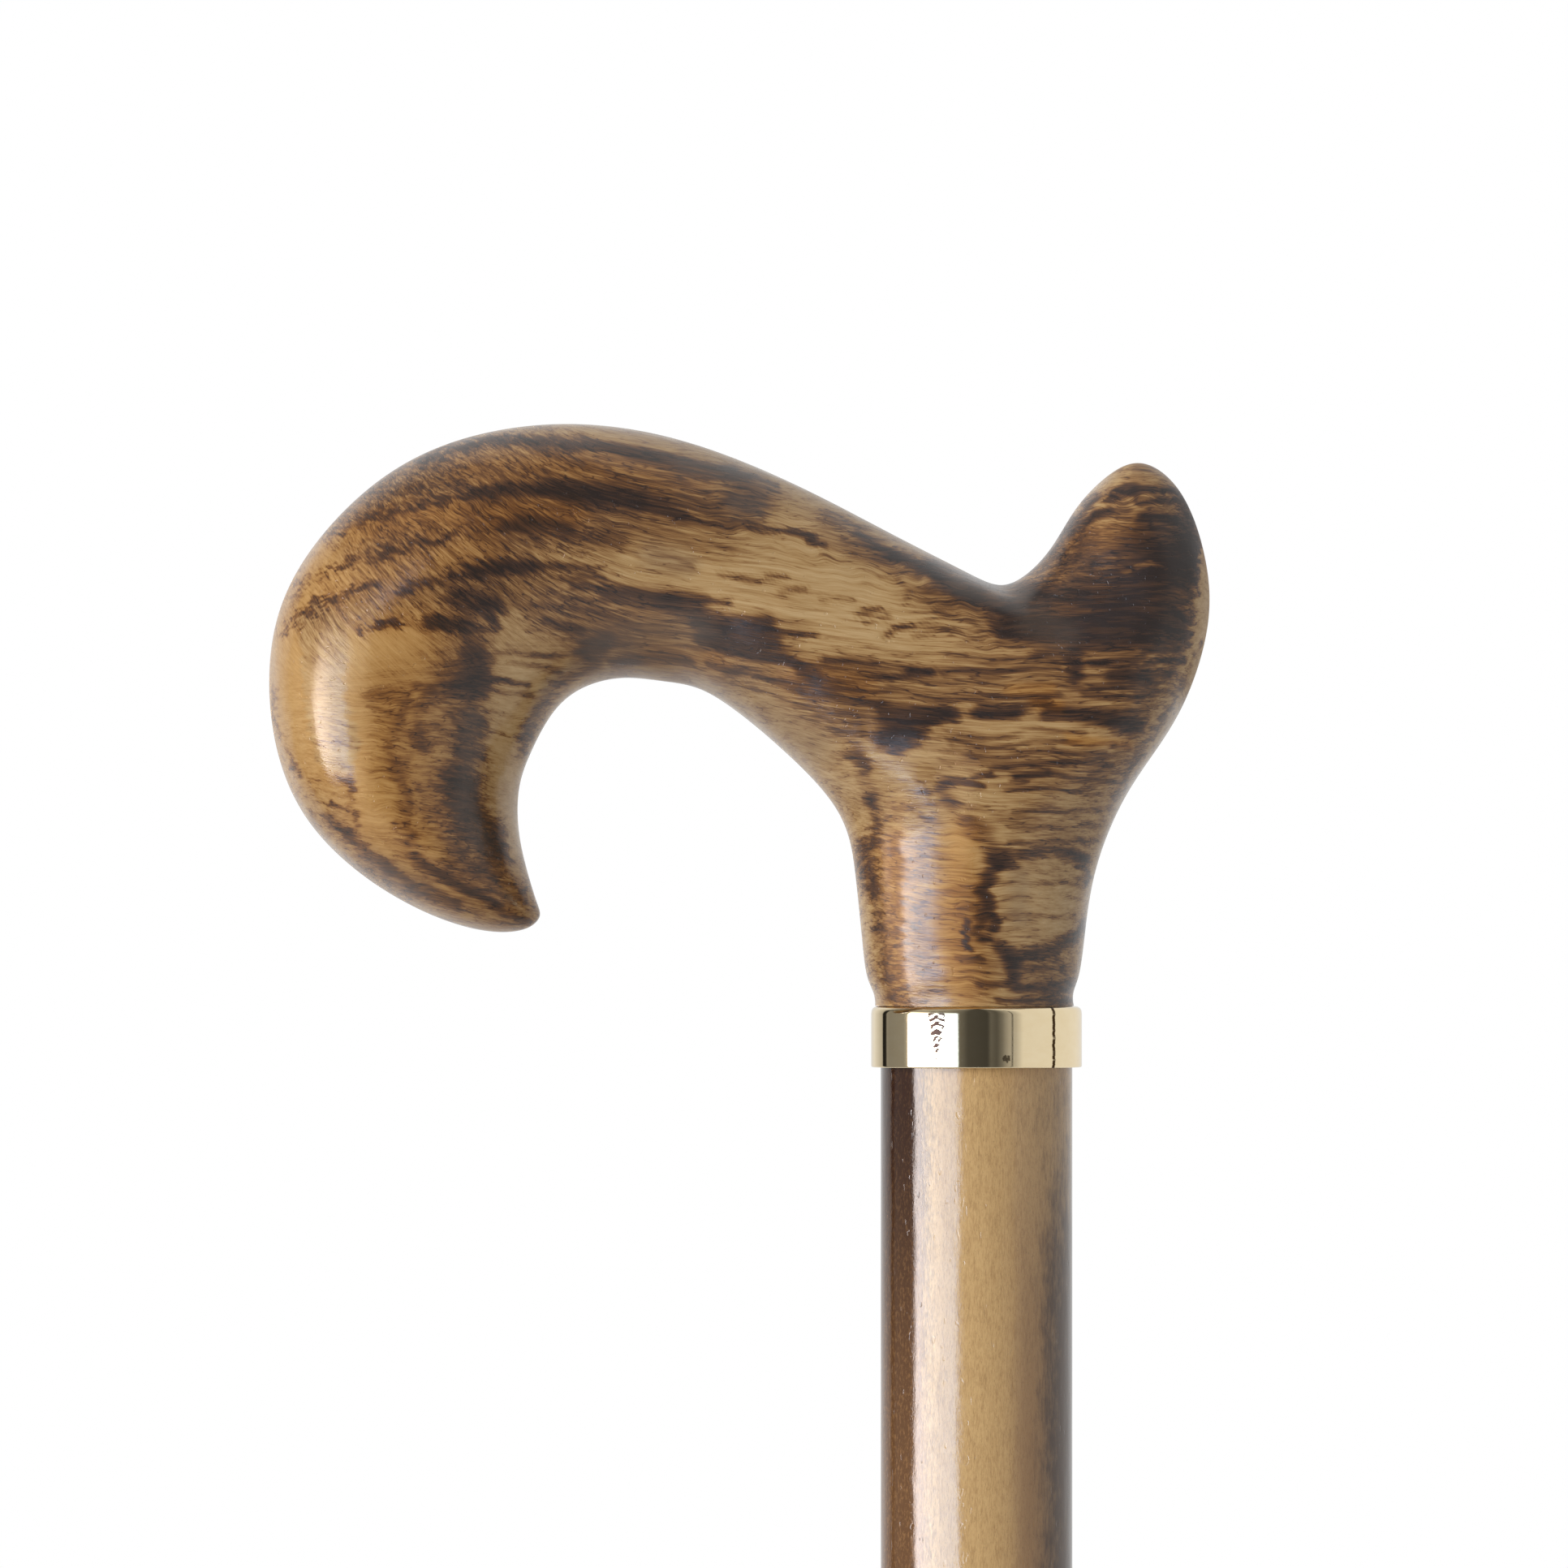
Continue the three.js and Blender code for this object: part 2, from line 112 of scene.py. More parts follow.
class HandleSettings(bpy.types.PropertyGroup):
    length: length_property("Length", "Nose to tail", 0.108)
    height: length_property("Height", "Collar's top edge to the highest point", STICK_TOP - COLLAR_TOP)
    width: length_property("Width", "Across the nose", 0.030)
    stem_share: share_property(
        "Stem place", "Where the shaft's axis crosses the length, from the nose", 0.7528)
    levels: bpy.props.IntProperty(
        name="Smoothing", description="Subdivisions of the control cage", default=5, min=1, max=5)
    pale_colour: colour_property("Pale wood", "The lightest bare wood", paint(202, 171, 126))
    tan_colour: colour_property("Tan wood", "The wood between the scorched bands", paint(179, 144, 97))
    warm_colour: colour_property("Warmed wood", "Wood that the flame has only warmed", paint(148, 110, 70))
    brown_colour: colour_property("Browned wood", "The edges of the scorched bands", paint(116, 82, 54))
    dark_colour: colour_property("Scorched wood", "The scorched bands", paint(86, 62, 48))
    char_colour: colour_property("Charred wood", "The middle of the scorched bands", paint(51, 42, 39))
    amber_tint: colour_property("Amber tint", "Turns wood amber", (1.0, 0.80, 0.50))
    # Also the colour of the painted sheen along the handle's underside and rims
    grey_colour: colour_property("Greyed wood", "Wood with a cold bluish cast", paint(112, 98, 88))
    lacquer_roughness: share_property("Lacquer roughness", "How soft the lacquer's reflections are", 0.17)
    lacquer_shine: share_property("Lacquer shine", "How strongly the lacquer mirrors", 0.41)
    lacquer_tint: colour_property("Lacquer tint", "The cast of the lacquer's reflections", (0.97, 1.0, 1.0))


class ShaftSettings(bpy.types.PropertyGroup):
    straight: length_property("Straight length", "Full-diameter length below the collar", 0.150)
    tip_radius: length_property("Tip radius", "At the ferrule", 0.0085)
    tip_land: length_property("Tip land", "Parallel end that the ferrule grips", 0.032)
    wood_colour: colour_property("Wood", "Bare wood under the lacquer", paint(216, 180, 127))
    # Also the painted shade on the side turned away from the key lamp
    figure_and_painted_shade_colour: colour_property("Shaded wood", "The wood's darker figure", paint(158, 116, 74))
    stain_colour: colour_property("Stain", "The dark band burnt along the shaft", paint(58, 36, 26))
    warm_colour: colour_property("Warm stain", "Where the stain thins out", paint(138, 98, 62))
    grey_colour: colour_property("Grey stain", "The cold band opposite", paint(72, 53, 46))
    lacquer_roughness: share_property("Lacquer roughness", "How soft the lacquer's reflections are", 0.05)


class MetalSettings(bpy.types.PropertyGroup):
    bore_radius: length_property("Bore radius", "Of the stud's bores in the handle and the shaft", 0.00405)
    brass_colour: colour_property("Brass", "The collar's metal", (0.83, 0.69, 0.45))
    tarnish_colour: colour_property("Tarnish", "Where the brass has dulled", paint(208, 176, 120))
    seam_colour: colour_property("Seam", "Dirt in the collar's seam and scratches", paint(58, 38, 14))
    # The colour of the collar's dark level hatch marks
    hatch_colour: colour_property("Worn brass", "Scratches of the collar's worn patch", paint(52, 38, 32))
    brass_roughness: share_property("Brass roughness", "How blurred the polish is", 0.03)
    steel_colour: colour_property("Steel", "The stud's and the washer's metal", (0.52, 0.53, 0.54))
    zinc_colour: colour_property("Zinc", "The plating's cloudy patches", (0.66, 0.67, 0.66))


class FerruleSettings(bpy.types.PropertyGroup):
    wall: length_property("Wall", "The rubber's thickness at the waist", 0.003)
    sole: length_property("Sole", "The rubber under the washer", 0.008)
    ribs: bpy.props.IntProperty(
        name="Ribs", description="Grip ribs round the waist", default=4, min=0, max=8)
    rubber_colour: colour_property("Rubber", "The moulded rubber", paint(38, 36, 36))
    dust_colour: colour_property("Dust", "Grey dust in the rubber's hollows", paint(112, 106, 98))


class StageSettings(bpy.types.PropertyGroup):
    floor_colour: colour_property("Floor", "The pale floor", (0.86, 0.86, 0.85))
    cloud_colour: colour_property("Floor clouds", "The floor's faint cloudy patches", (0.74, 0.74, 0.73))
    floor_radius: length_property("Floor radius", "Where the floor has faded out", 1.6)
    key_power: bpy.props.FloatProperty(
        name="Key power", description="The soft key lamp's power", default=71, min=0, unit="POWER")
    ambient: share_property("Ambient", "Light that comes from all round", 0.40)
    softbox_strength: bpy.props.FloatProperty(
        name="Softbox strength", description="Brightness of the panel seen in reflections",
        default=17.5, min=0)


# The Mix node has a pair of sockets for each kind of value; these are the colour ones
MIX_COLOUR_A = 6
MIX_COLOUR_B = 7
MIX_COLOUR_RESULT = 2


class Graph:
    """Adds nodes to a node tree. An input may be a value or another node's socket."""

    def __init__(self, tree):
        self.tree = tree

    def add(self, kind, inputs=None, **settings):
        node = self.tree.nodes.new(kind)
        for name, value in settings.items():
            setattr(node, name, value)
        for key, value in (inputs or {}).items():
            self.join(value, node.inputs[key])
        return node

    def join(self, value, socket):
        if isinstance(value, bpy.types.NodeSocket):
            self.tree.links.new(value, socket)
        elif socket.type == "RGBA" and len(value) == 3:
            socket.default_value = (*value, 1)
        else:
            socket.default_value = value

    def math(self, operation, first, second=0.0, third=0.0):
        node = self.add("ShaderNodeMath", operation=operation)
        for i, value in enumerate((first, second, third)):
            self.join(value, node.inputs[i])
        return node.outputs[0]

    def total(self, *parts):
        """The sum of (value, weight) pairs."""
        sum_so_far = 0.0
        for value, weight in parts:
            sum_so_far = self.math("MULTIPLY_ADD", value, weight, sum_so_far)
        return sum_so_far

    def step(self, value, low, high, to_low=0.0, to_high=1.0):
        """A soft step of the value between two limits."""
        node = self.add("ShaderNodeMapRange", interpolation_type="SMOOTHSTEP")
        for key, number in zip(("Value", "From Min", "From Max", "To Min", "To Max"),
                               (value, low, high, to_low, to_high)):
            self.join(number, node.inputs[key])
        return node.outputs["Result"]

    def mix(self, factor, first, second, blend="MIX"):
        node = self.add("ShaderNodeMix", data_type="RGBA", blend_type=blend)
        self.join(factor, node.inputs["Factor"])
        self.join(first, node.inputs[MIX_COLOUR_A])
        self.join(second, node.inputs[MIX_COLOUR_B])
        return node.outputs[MIX_COLOUR_RESULT]

    def noise(self, vector, scale=1.0, detail=2.0, roughness=0.5):
        return self.add("ShaderNodeTexNoise", {
            "Vector": vector, "Scale": scale, "Detail": detail, "Roughness": roughness}).outputs[0]

    def stretch(self, vector, scale, shift=(0, 0, 0)):
        return self.add("ShaderNodeMapping", {
            "Vector": vector, "Scale": scale, "Location": shift}).outputs[0]

    def attribute(self, name, output="Fac"):
        return self.add("ShaderNodeAttribute", attribute_name=name).outputs[output]

    def bump(self, height, distance):
        return self.add("ShaderNodeBump", {"Height": height, "Distance": distance}).outputs[0]

    def ramp(self, value, stops):
        node = self.add("ShaderNodeValToRGB", {"Fac": value})
        elements = node.color_ramp.elements
        elements[0].position, elements[1].position = stops[0][0], stops[-1][0]
        for place, _ in stops[1:-1]:
            elements.new(place)
        for element, (_, shade) in zip(elements, stops):
            element.color = (*shade, 1) if hasattr(shade, "__len__") else (shade, shade, shade, 1)
        return node.outputs[0]


def shader_group(name, inputs, outputs):
    """A new shader node group with the named sockets: (graph, its inputs, a dict to plug outputs)."""
    tree = bpy.data.node_groups.new(name, "ShaderNodeTree")
    for socket, kind, default in inputs:
        made = tree.interface.new_socket(name=socket, in_out="INPUT", socket_type=kind)
        if default is not None:
            made.default_value = default
    for socket, kind in outputs:
        tree.interface.new_socket(name=socket, in_out="OUTPUT", socket_type=kind)
    graph = Graph(tree)
    entry = graph.add("NodeGroupInput")
    leave = graph.add("NodeGroupOutput")
    return graph, entry.outputs, leave.inputs


SHEET_SHARE = 0.22  # fibres lie in sheets: how fast they change along the vector's Y, of along its Z


def wood_fibres_group():
    """Wood whose grain runs along the vector's X, in millimetres: growth rings seen as lines, streaks,
    hair-fine fibres, thin threads and pores, each from 0, light, to 1, dark."""
    name = "wood fibres"
    if name in bpy.data.node_groups:
        return bpy.data.node_groups[name]
    number = "NodeSocketFloat"
    graph, entry, leave = shader_group(
        name,
        [("Grain", "NodeSocketVector", None), ("Fibre Length", number, 7.0),
         ("Fibre Width", number, 0.35), ("Ring Spacing", number, 2.0)],
        [("Figure", number), ("Rings", number), ("Streaks", number), ("Hairs", number),
         ("Threads", number), ("Pores", number), ("Relief", number)],
    )

    def along_grain(length_factor, width_factor, detail, shift):
        along = graph.math("DIVIDE", 1.0 / length_factor, entry["Fibre Length"])
        across = graph.math("DIVIDE", 1.0 / width_factor, entry["Fibre Width"])
        deep = graph.math("MULTIPLY", across, SHEET_SHARE)
        scale = graph.add("ShaderNodeCombineXYZ", {"X": along, "Y": deep, "Z": across}).outputs[0]
        return graph.noise(graph.stretch(entry["Grain"], scale, shift), detail=detail, roughness=0.6)

    figure = along_grain(2.0, 5.0, 2, (7.3, 1.9, 4.1))
    streaks = along_grain(1.0, 1.0, 3, (0, 0, 0))
    hairs = along_grain(0.4, 0.4, 2, (31, 17, 5))
    threads = graph.math("ABSOLUTE", graph.math("SUBTRACT", along_grain(0.9, 2.4, 2, (12, 3, 9)), 0.5))
    dashes = along_grain(0.16, 0.3, 1, (3.1, 8.7, 2.3))
    across = graph.add("ShaderNodeSeparateXYZ", {"Vector": entry["Grain"]}).outputs
    depth = graph.total((across["Z"], 1.0), (across["Y"], 0.35))
    depth = graph.math("DIVIDE", depth, entry["Ring Spacing"])
    bend = along_grain(2.2, 16.0, 2, (2.7, 5.3, 8.9))
    bent = graph.math("MULTIPLY_ADD", bend, 5.0, depth)
    wave = graph.math("SINE", graph.math("MULTIPLY", bent, 2 * math.pi))
    graph.join(graph.step(figure, 0.30, 0.70), leave["Figure"])
    graph.join(graph.step(graph.total((wave, 0.5), (streaks, 1.0)), 0.1, 1.1), leave["Rings"])
    graph.join(graph.step(streaks, 0.30, 0.70), leave["Streaks"])
    graph.join(graph.step(hairs, 0.30, 0.70), leave["Hairs"])
    graph.join(graph.step(threads, 0.030, 0.006), leave["Threads"])
    graph.join(graph.step(dashes, 0.60, 0.72), leave["Pores"])
    graph.join(graph.total((streaks, 0.6), (hairs, 0.3), (dashes, -0.5), (figure, 0.4)), leave["Relief"])
    return bpy.data.node_groups[name]


def ragged_mask_group():
    """A mask whose edge breaks up along the fibres: the level is pushed up and down by the streaks."""
    name = "ragged mask"
    if name in bpy.data.node_groups:
        return bpy.data.node_groups[name]
    number = "NodeSocketFloat"
    graph, entry, leave = shader_group(
        name,
        [("Level", number, 0.0), ("Streaks", number, 0.5), ("Figure", number, 0.5),
         ("Streak Push", number, 0.3), ("Figure Push", number, 0.3), ("Threshold", number, 0.5),
         ("Softness", number, 0.15)],
        [("Mask", number)],
    )
    streaks = graph.math("SUBTRACT", entry["Streaks"], 0.5)
    figure = graph.math("SUBTRACT", entry["Figure"], 0.5)
    pushed = graph.math("MULTIPLY_ADD", streaks, entry["Streak Push"], entry["Level"])
    pushed = graph.math("MULTIPLY_ADD", figure, entry["Figure Push"], pushed)
    low = graph.math("SUBTRACT", entry["Threshold"], entry["Softness"])
    high = graph.math("ADD", entry["Threshold"], entry["Softness"])
    graph.join(graph.step(pushed, low, high), leave["Mask"])
    return bpy.data.node_groups[name]


def lacquer_group():
    """Brushed lacquer: a slow ripple and a few tiny nicks, as a height, and where it has dulled."""
    name = "lacquer ripple"
    if name in bpy.data.node_groups:
        return bpy.data.node_groups[name]
    number = "NodeSocketFloat"
    graph, entry, leave = shader_group(
        name,
        [("Place", "NodeSocketVector", None), ("Ripple Size", number, 3.0), ("Swell", number, 0.0)],
        [("Height", number), ("Dullness", number)],
    )
    size = graph.math("DIVIDE", 1.0, entry["Ripple Size"])
    ripple = graph.noise(entry["Place"], size, 2, 0.5)
    nicks = graph.step(graph.noise(entry["Place"], 1.7, 1, 0.4), 0.70, 0.76)
    swell = graph.math("MULTIPLY", graph.noise(entry["Place"], 0.11, 1, 0.4), entry["Swell"])
    graph.join(graph.total((ripple, 1.0), (nicks, -0.25), (swell, 1.0)), leave["Height"])
    graph.join(graph.step(graph.noise(entry["Place"], 0.12, 3, 0.6), 0.35, 0.7), leave["Dullness"])
    return bpy.data.node_groups[name]


def placed(graph, group, **inputs):
    """The outputs of a node group placed in a material."""
    node = graph.add("ShaderNodeGroup", node_tree=group)
    for key, value in inputs.items():
        graph.join(value, node.inputs[key.replace("_", " ").title()])
    return node.outputs


def new_material(name):
    """A material with a Principled shader: (material, graph, the shader's inputs)."""
    material = bpy.data.materials.new(name)
    material.use_nodes = True
    graph = Graph(material.node_tree)
    shader = next(n for n in material.node_tree.nodes if n.type == "BSDF_PRINCIPLED")
    return material, graph, shader.inputs


def millimetres(graph):
    """The object's own coordinates in millimetres."""
    place = graph.add("ShaderNodeTexCoord").outputs["Object"]
    return graph.stretch(place, (1 / MM, 1 / MM, 1 / MM))


# The handle's control cage, as shares of its length, height and width. A ring lies on the line from the
# outer outline to the inner one: outer x, outer z, inner x, inner z, half width, how far in the widest
# place lies, fullness of the outer shoulder, of the inner one.
BEAK_TIP_SHARES = (0.288, 0.152)
LIMB_RING_SHARES = (
    (0.267, 0.13, 0.285, 0.181, 0.2, 0.5, 0.7, 0.7),
    (0.211, 0.136, 0.274, 0.24, 0.48, 0.5, 0.72, 0.66),
    (0.128, 0.195, 0.266, 0.307, 0.76, 0.48, 0.74, 0.6),
    (0.048, 0.307, 0.267, 0.377, 0.93, 0.44, 0.76, 0.56),
    (0.007, 0.458, 0.28, 0.439, 1, 0.42, 0.76, 0.56),
    (0.005, 0.634, 0.302, 0.503, 1, 0.42, 0.76, 0.58),
    (0.047, 0.788, 0.333, 0.546, 0.99, 0.44, 0.76, 0.6),
    (0.134, 0.922, 0.375, 0.564, 0.97, 0.45, 0.76, 0.62),
    (0.241, 0.989, 0.418, 0.559, 0.94, 0.46, 0.76, 0.64),
    (0.349, 0.999, 0.459, 0.545, 0.91, 0.47, 0.76, 0.66),
    (0.457, 0.964, 0.501, 0.503, 0.88, 0.48, 0.76, 0.7),
    (0.565, 0.893, 0.55, 0.436, 0.86, 0.5, 0.76, 0.76),
    (0.659, 0.815, 0.751, 0.381, 0.86, 0.5, 0.76, 0.99),
    (0.741, 0.747, 0.934, 0.418, 0.86, 0.5, 0.76, 0.86),
    (0.787, 0.726, 0.972, 0.517, 0.84, 0.5, 0.76, 0.82),
    (0.828, 0.779, 0.998, 0.649, 0.79, 0.5, 0.74, 0.82),
    (0.858, 0.854, 0.996, 0.768, 0.69, 0.5, 0.72, 0.8),
    (0.895, 0.915, 0.972, 0.877, 0.46, 0.5, 0.7, 0.74),
)
TAIL_TIP_SHARES = (0.933, 0.932)
STEM_LEFT_RING = 11
SHOULDER_SHARE = 0.72

# The stem's rings: height as a share of the handle's, then reach to the nose side, to the tail side and
# half width as shares of the shaft's radius.
STEM_RING_SHARES = (
    (0.335, 1.449, 1.475, 1.15),
    (0.224, 1.263, 1.229, 1.12),
    (0.111, 1.192, 1.122, 1.09),
    (0.046, 1.132, 1.056, 1.06),
    (0.005, 1.058, 1.011, 1.03),
    (-0.05, 0.93, 0.94, 0.94),
)
RING_POINTS = 8
FIT_PASSES = 60


def handle_cage(sizes):
    """The cage's points and four-sided faces: the limb's rings, the stem's rings and three caps."""
    def place(x_share, z_share, y=0.0):
        return np.array((
            sizes.length * (x_share - sizes.stem_share), y, COLLAR_TOP + sizes.height * z_share))

    def limb_ring(outer_x, outer_z, inner_x, inner_z, width, widest, outer_full, inner_full):
        outer = place(outer_x, outer_z)
        inner = place(inner_x, inner_z)
        middle = outer + (inner - outer) * widest
        half = np.array((0, sizes.width / 2 * width, 0))
        outer_shoulder = middle + (outer - middle) * SHOULDER_SHARE
        inner_shoulder = middle + (inner - middle) * SHOULDER_SHARE
        return [
            outer, outer_shoulder - half * outer_full, middle - half, inner_shoulder - half * inner_full,
            inner, inner_shoulder + half * inner_full, middle + half, outer_shoulder + half * outer_full]

    def stem_ring(height, nose_side, tail_side, width):
        middle = SHAFT_RADIUS * (tail_side - nose_side) / 2
        reach = SHAFT_RADIUS * (tail_side + nose_side) / 2
        level = COLLAR_TOP + sizes.height * height
        turns = [math.pi + k * math.pi / 4 for k in range(RING_POINTS)]
        return [
            np.array((middle + reach * math.cos(t), SHAFT_RADIUS * width * math.sin(t), level))
            for t in turns]

    points = []
    faces = []

    def add(point):
        points.append(point)
        return len(points) - 1

    def following(k):
        return (k + 1) % RING_POINTS

    # The stem grows out of three of the limb's rings, round the point that the middle one lacks
    left, middle, right = STEM_LEFT_RING, STEM_LEFT_RING + 1, STEM_LEFT_RING + 2
    lowest = RING_POINTS // 2
    before, after = lowest - 1, lowest + 1
    limb = []
    for i, shares in enumerate(LIMB_RING_SHARES):
        ring = limb_ring(*shares)
        limb.append([None if (i, k) == (middle, lowest) else add(ring[k]) for k in range(RING_POINTS)])
    for i in range(len(limb) - 1):
        for k in range(RING_POINTS):
            if i in (left, middle) and k in (before, lowest):
                continue
            faces.append((limb[i][k], limb[i][following(k)], limb[i + 1][following(k)], limb[i + 1][k]))

    a, b, c = limb[left], limb[middle], limb[right]
    stem = [[a[lowest], a[before], b[before], c[before], c[lowest], c[after], b[after], a[after]]]
    stem += [[add(point) for point in stem_ring(*shares)] for shares in STEM_RING_SHARES]
    for upper, lower in zip(stem, stem[1:]):
        for k in range(RING_POINTS):
            faces.append((upper[k], lower[k], lower[following(k)], upper[following(k)]))

    def cap(ring, centre, way):
        hub = add(centre)
        for k in range(0, RING_POINTS, 2):
            faces.append((hub, ring[k], ring[(k + way) % RING_POINTS], ring[(k + 2 * way) % RING_POINTS]))

    cap(limb[0], place(*BEAK_TIP_SHARES), -1)
    cap(limb[-1], place(*TAIL_TIP_SHARES), 1)
    cap(stem[-1], np.array((0, 0, points[stem[-1][0]][2])), -1)
    return np.array(points), np.array(faces)


def fitted_cage(points, faces):
    """Moves the cage's points until the smooth surface passes through the places they had at first."""
    valence = np.bincount(faces.ravel(), minlength=len(points))[:, None]
    edge_ends = np.roll(faces, -1, axis=1)
    corners = np.roll(faces, -2, axis=1)
    moved = points.copy()
    for _ in range(FIT_PASSES):
        edge_sum = np.zeros_like(points)
        corner_sum = np.zeros_like(points)
        np.add.at(edge_sum, faces, moved[edge_ends])
        np.add.at(corner_sum, faces, moved[corners])
        limit = (valence ** 2 * moved + 4 * edge_sum + corner_sum) / (valence * (valence + 5))
        moved += points - limit
    return moved


def handle_mesh(sizes, bore_radius):
    """The smooth handle, cut off at the collar and given a spigot with the stud's bore in it."""
    points, faces = handle_cage(sizes)
    cage = bpy.data.meshes.new("handle cage")
    cage.from_pydata(fitted_cage(points, faces).tolist(), [], faces.tolist())
    holder = bpy.data.objects.new("handle cage", cage)
    bpy.context.scene.collection.objects.link(holder)
    smoothing = holder.modifiers.new("Smoothing", "SUBSURF")
    smoothing.levels = smoothing.render_levels = sizes.levels
    smoothing.use_limit_surface = True
    smooth = holder.evaluated_get(bpy.context.evaluated_depsgraph_get()).to_mesh()
    body = bmesh.new()
    body.from_mesh(smooth)
    bpy.data.objects.remove(holder)
    bpy.data.meshes.remove(cage)

    shoulder = COLLAR_TOP + SEAT_GAP
    bmesh.ops.bisect_plane(
        body, geom=body.verts[:] + body.edges[:] + body.faces[:], dist=TINY,
        plane_co=(0, 0, shoulder), plane_no=(0, 0, -1), clear_outer=True)
    rim = {v for e in body.edges if e.is_boundary for v in e.verts}
    ring = sorted(rim, key=lambda v: math.atan2(v.co.y, v.co.x))
    turns = [math.atan2(v.co.y, v.co.x) for v in ring]
    spigot_foot = SHAFT_TOP + SEAT_GAP
    bore_top = STUD_BOX[1].z + BORE_OVERRUN
    profile = [
        (SHAFT_RADIUS, shoulder), (SHAFT_RADIUS, spigot_foot),
        (bore_radius, spigot_foot), (bore_radius, bore_top)]
    for radius, level in profile:
        lower = [body.verts.new((radius * math.cos(t), radius * math.sin(t), level)) for t in turns]
        for k in range(len(ring)):
            body.faces.new((ring[k - 1], ring[k], lower[k], lower[k - 1]))
        ring = lower
    body.faces.new(ring)
    bmesh.ops.recalc_face_normals(body, faces=body.faces)
    return finished_mesh("carved_handle", body)


def finished_mesh(name, body):
    """A smooth-shaded mesh with crisp edges, made from a bmesh."""
    mesh = bpy.data.meshes.new(name)
    body.to_mesh(mesh)
    body.free()
    mesh.shade_smooth()
    mesh.set_sharp_from_angle(angle=math.radians(SHARP_ANGLE))
    return mesh
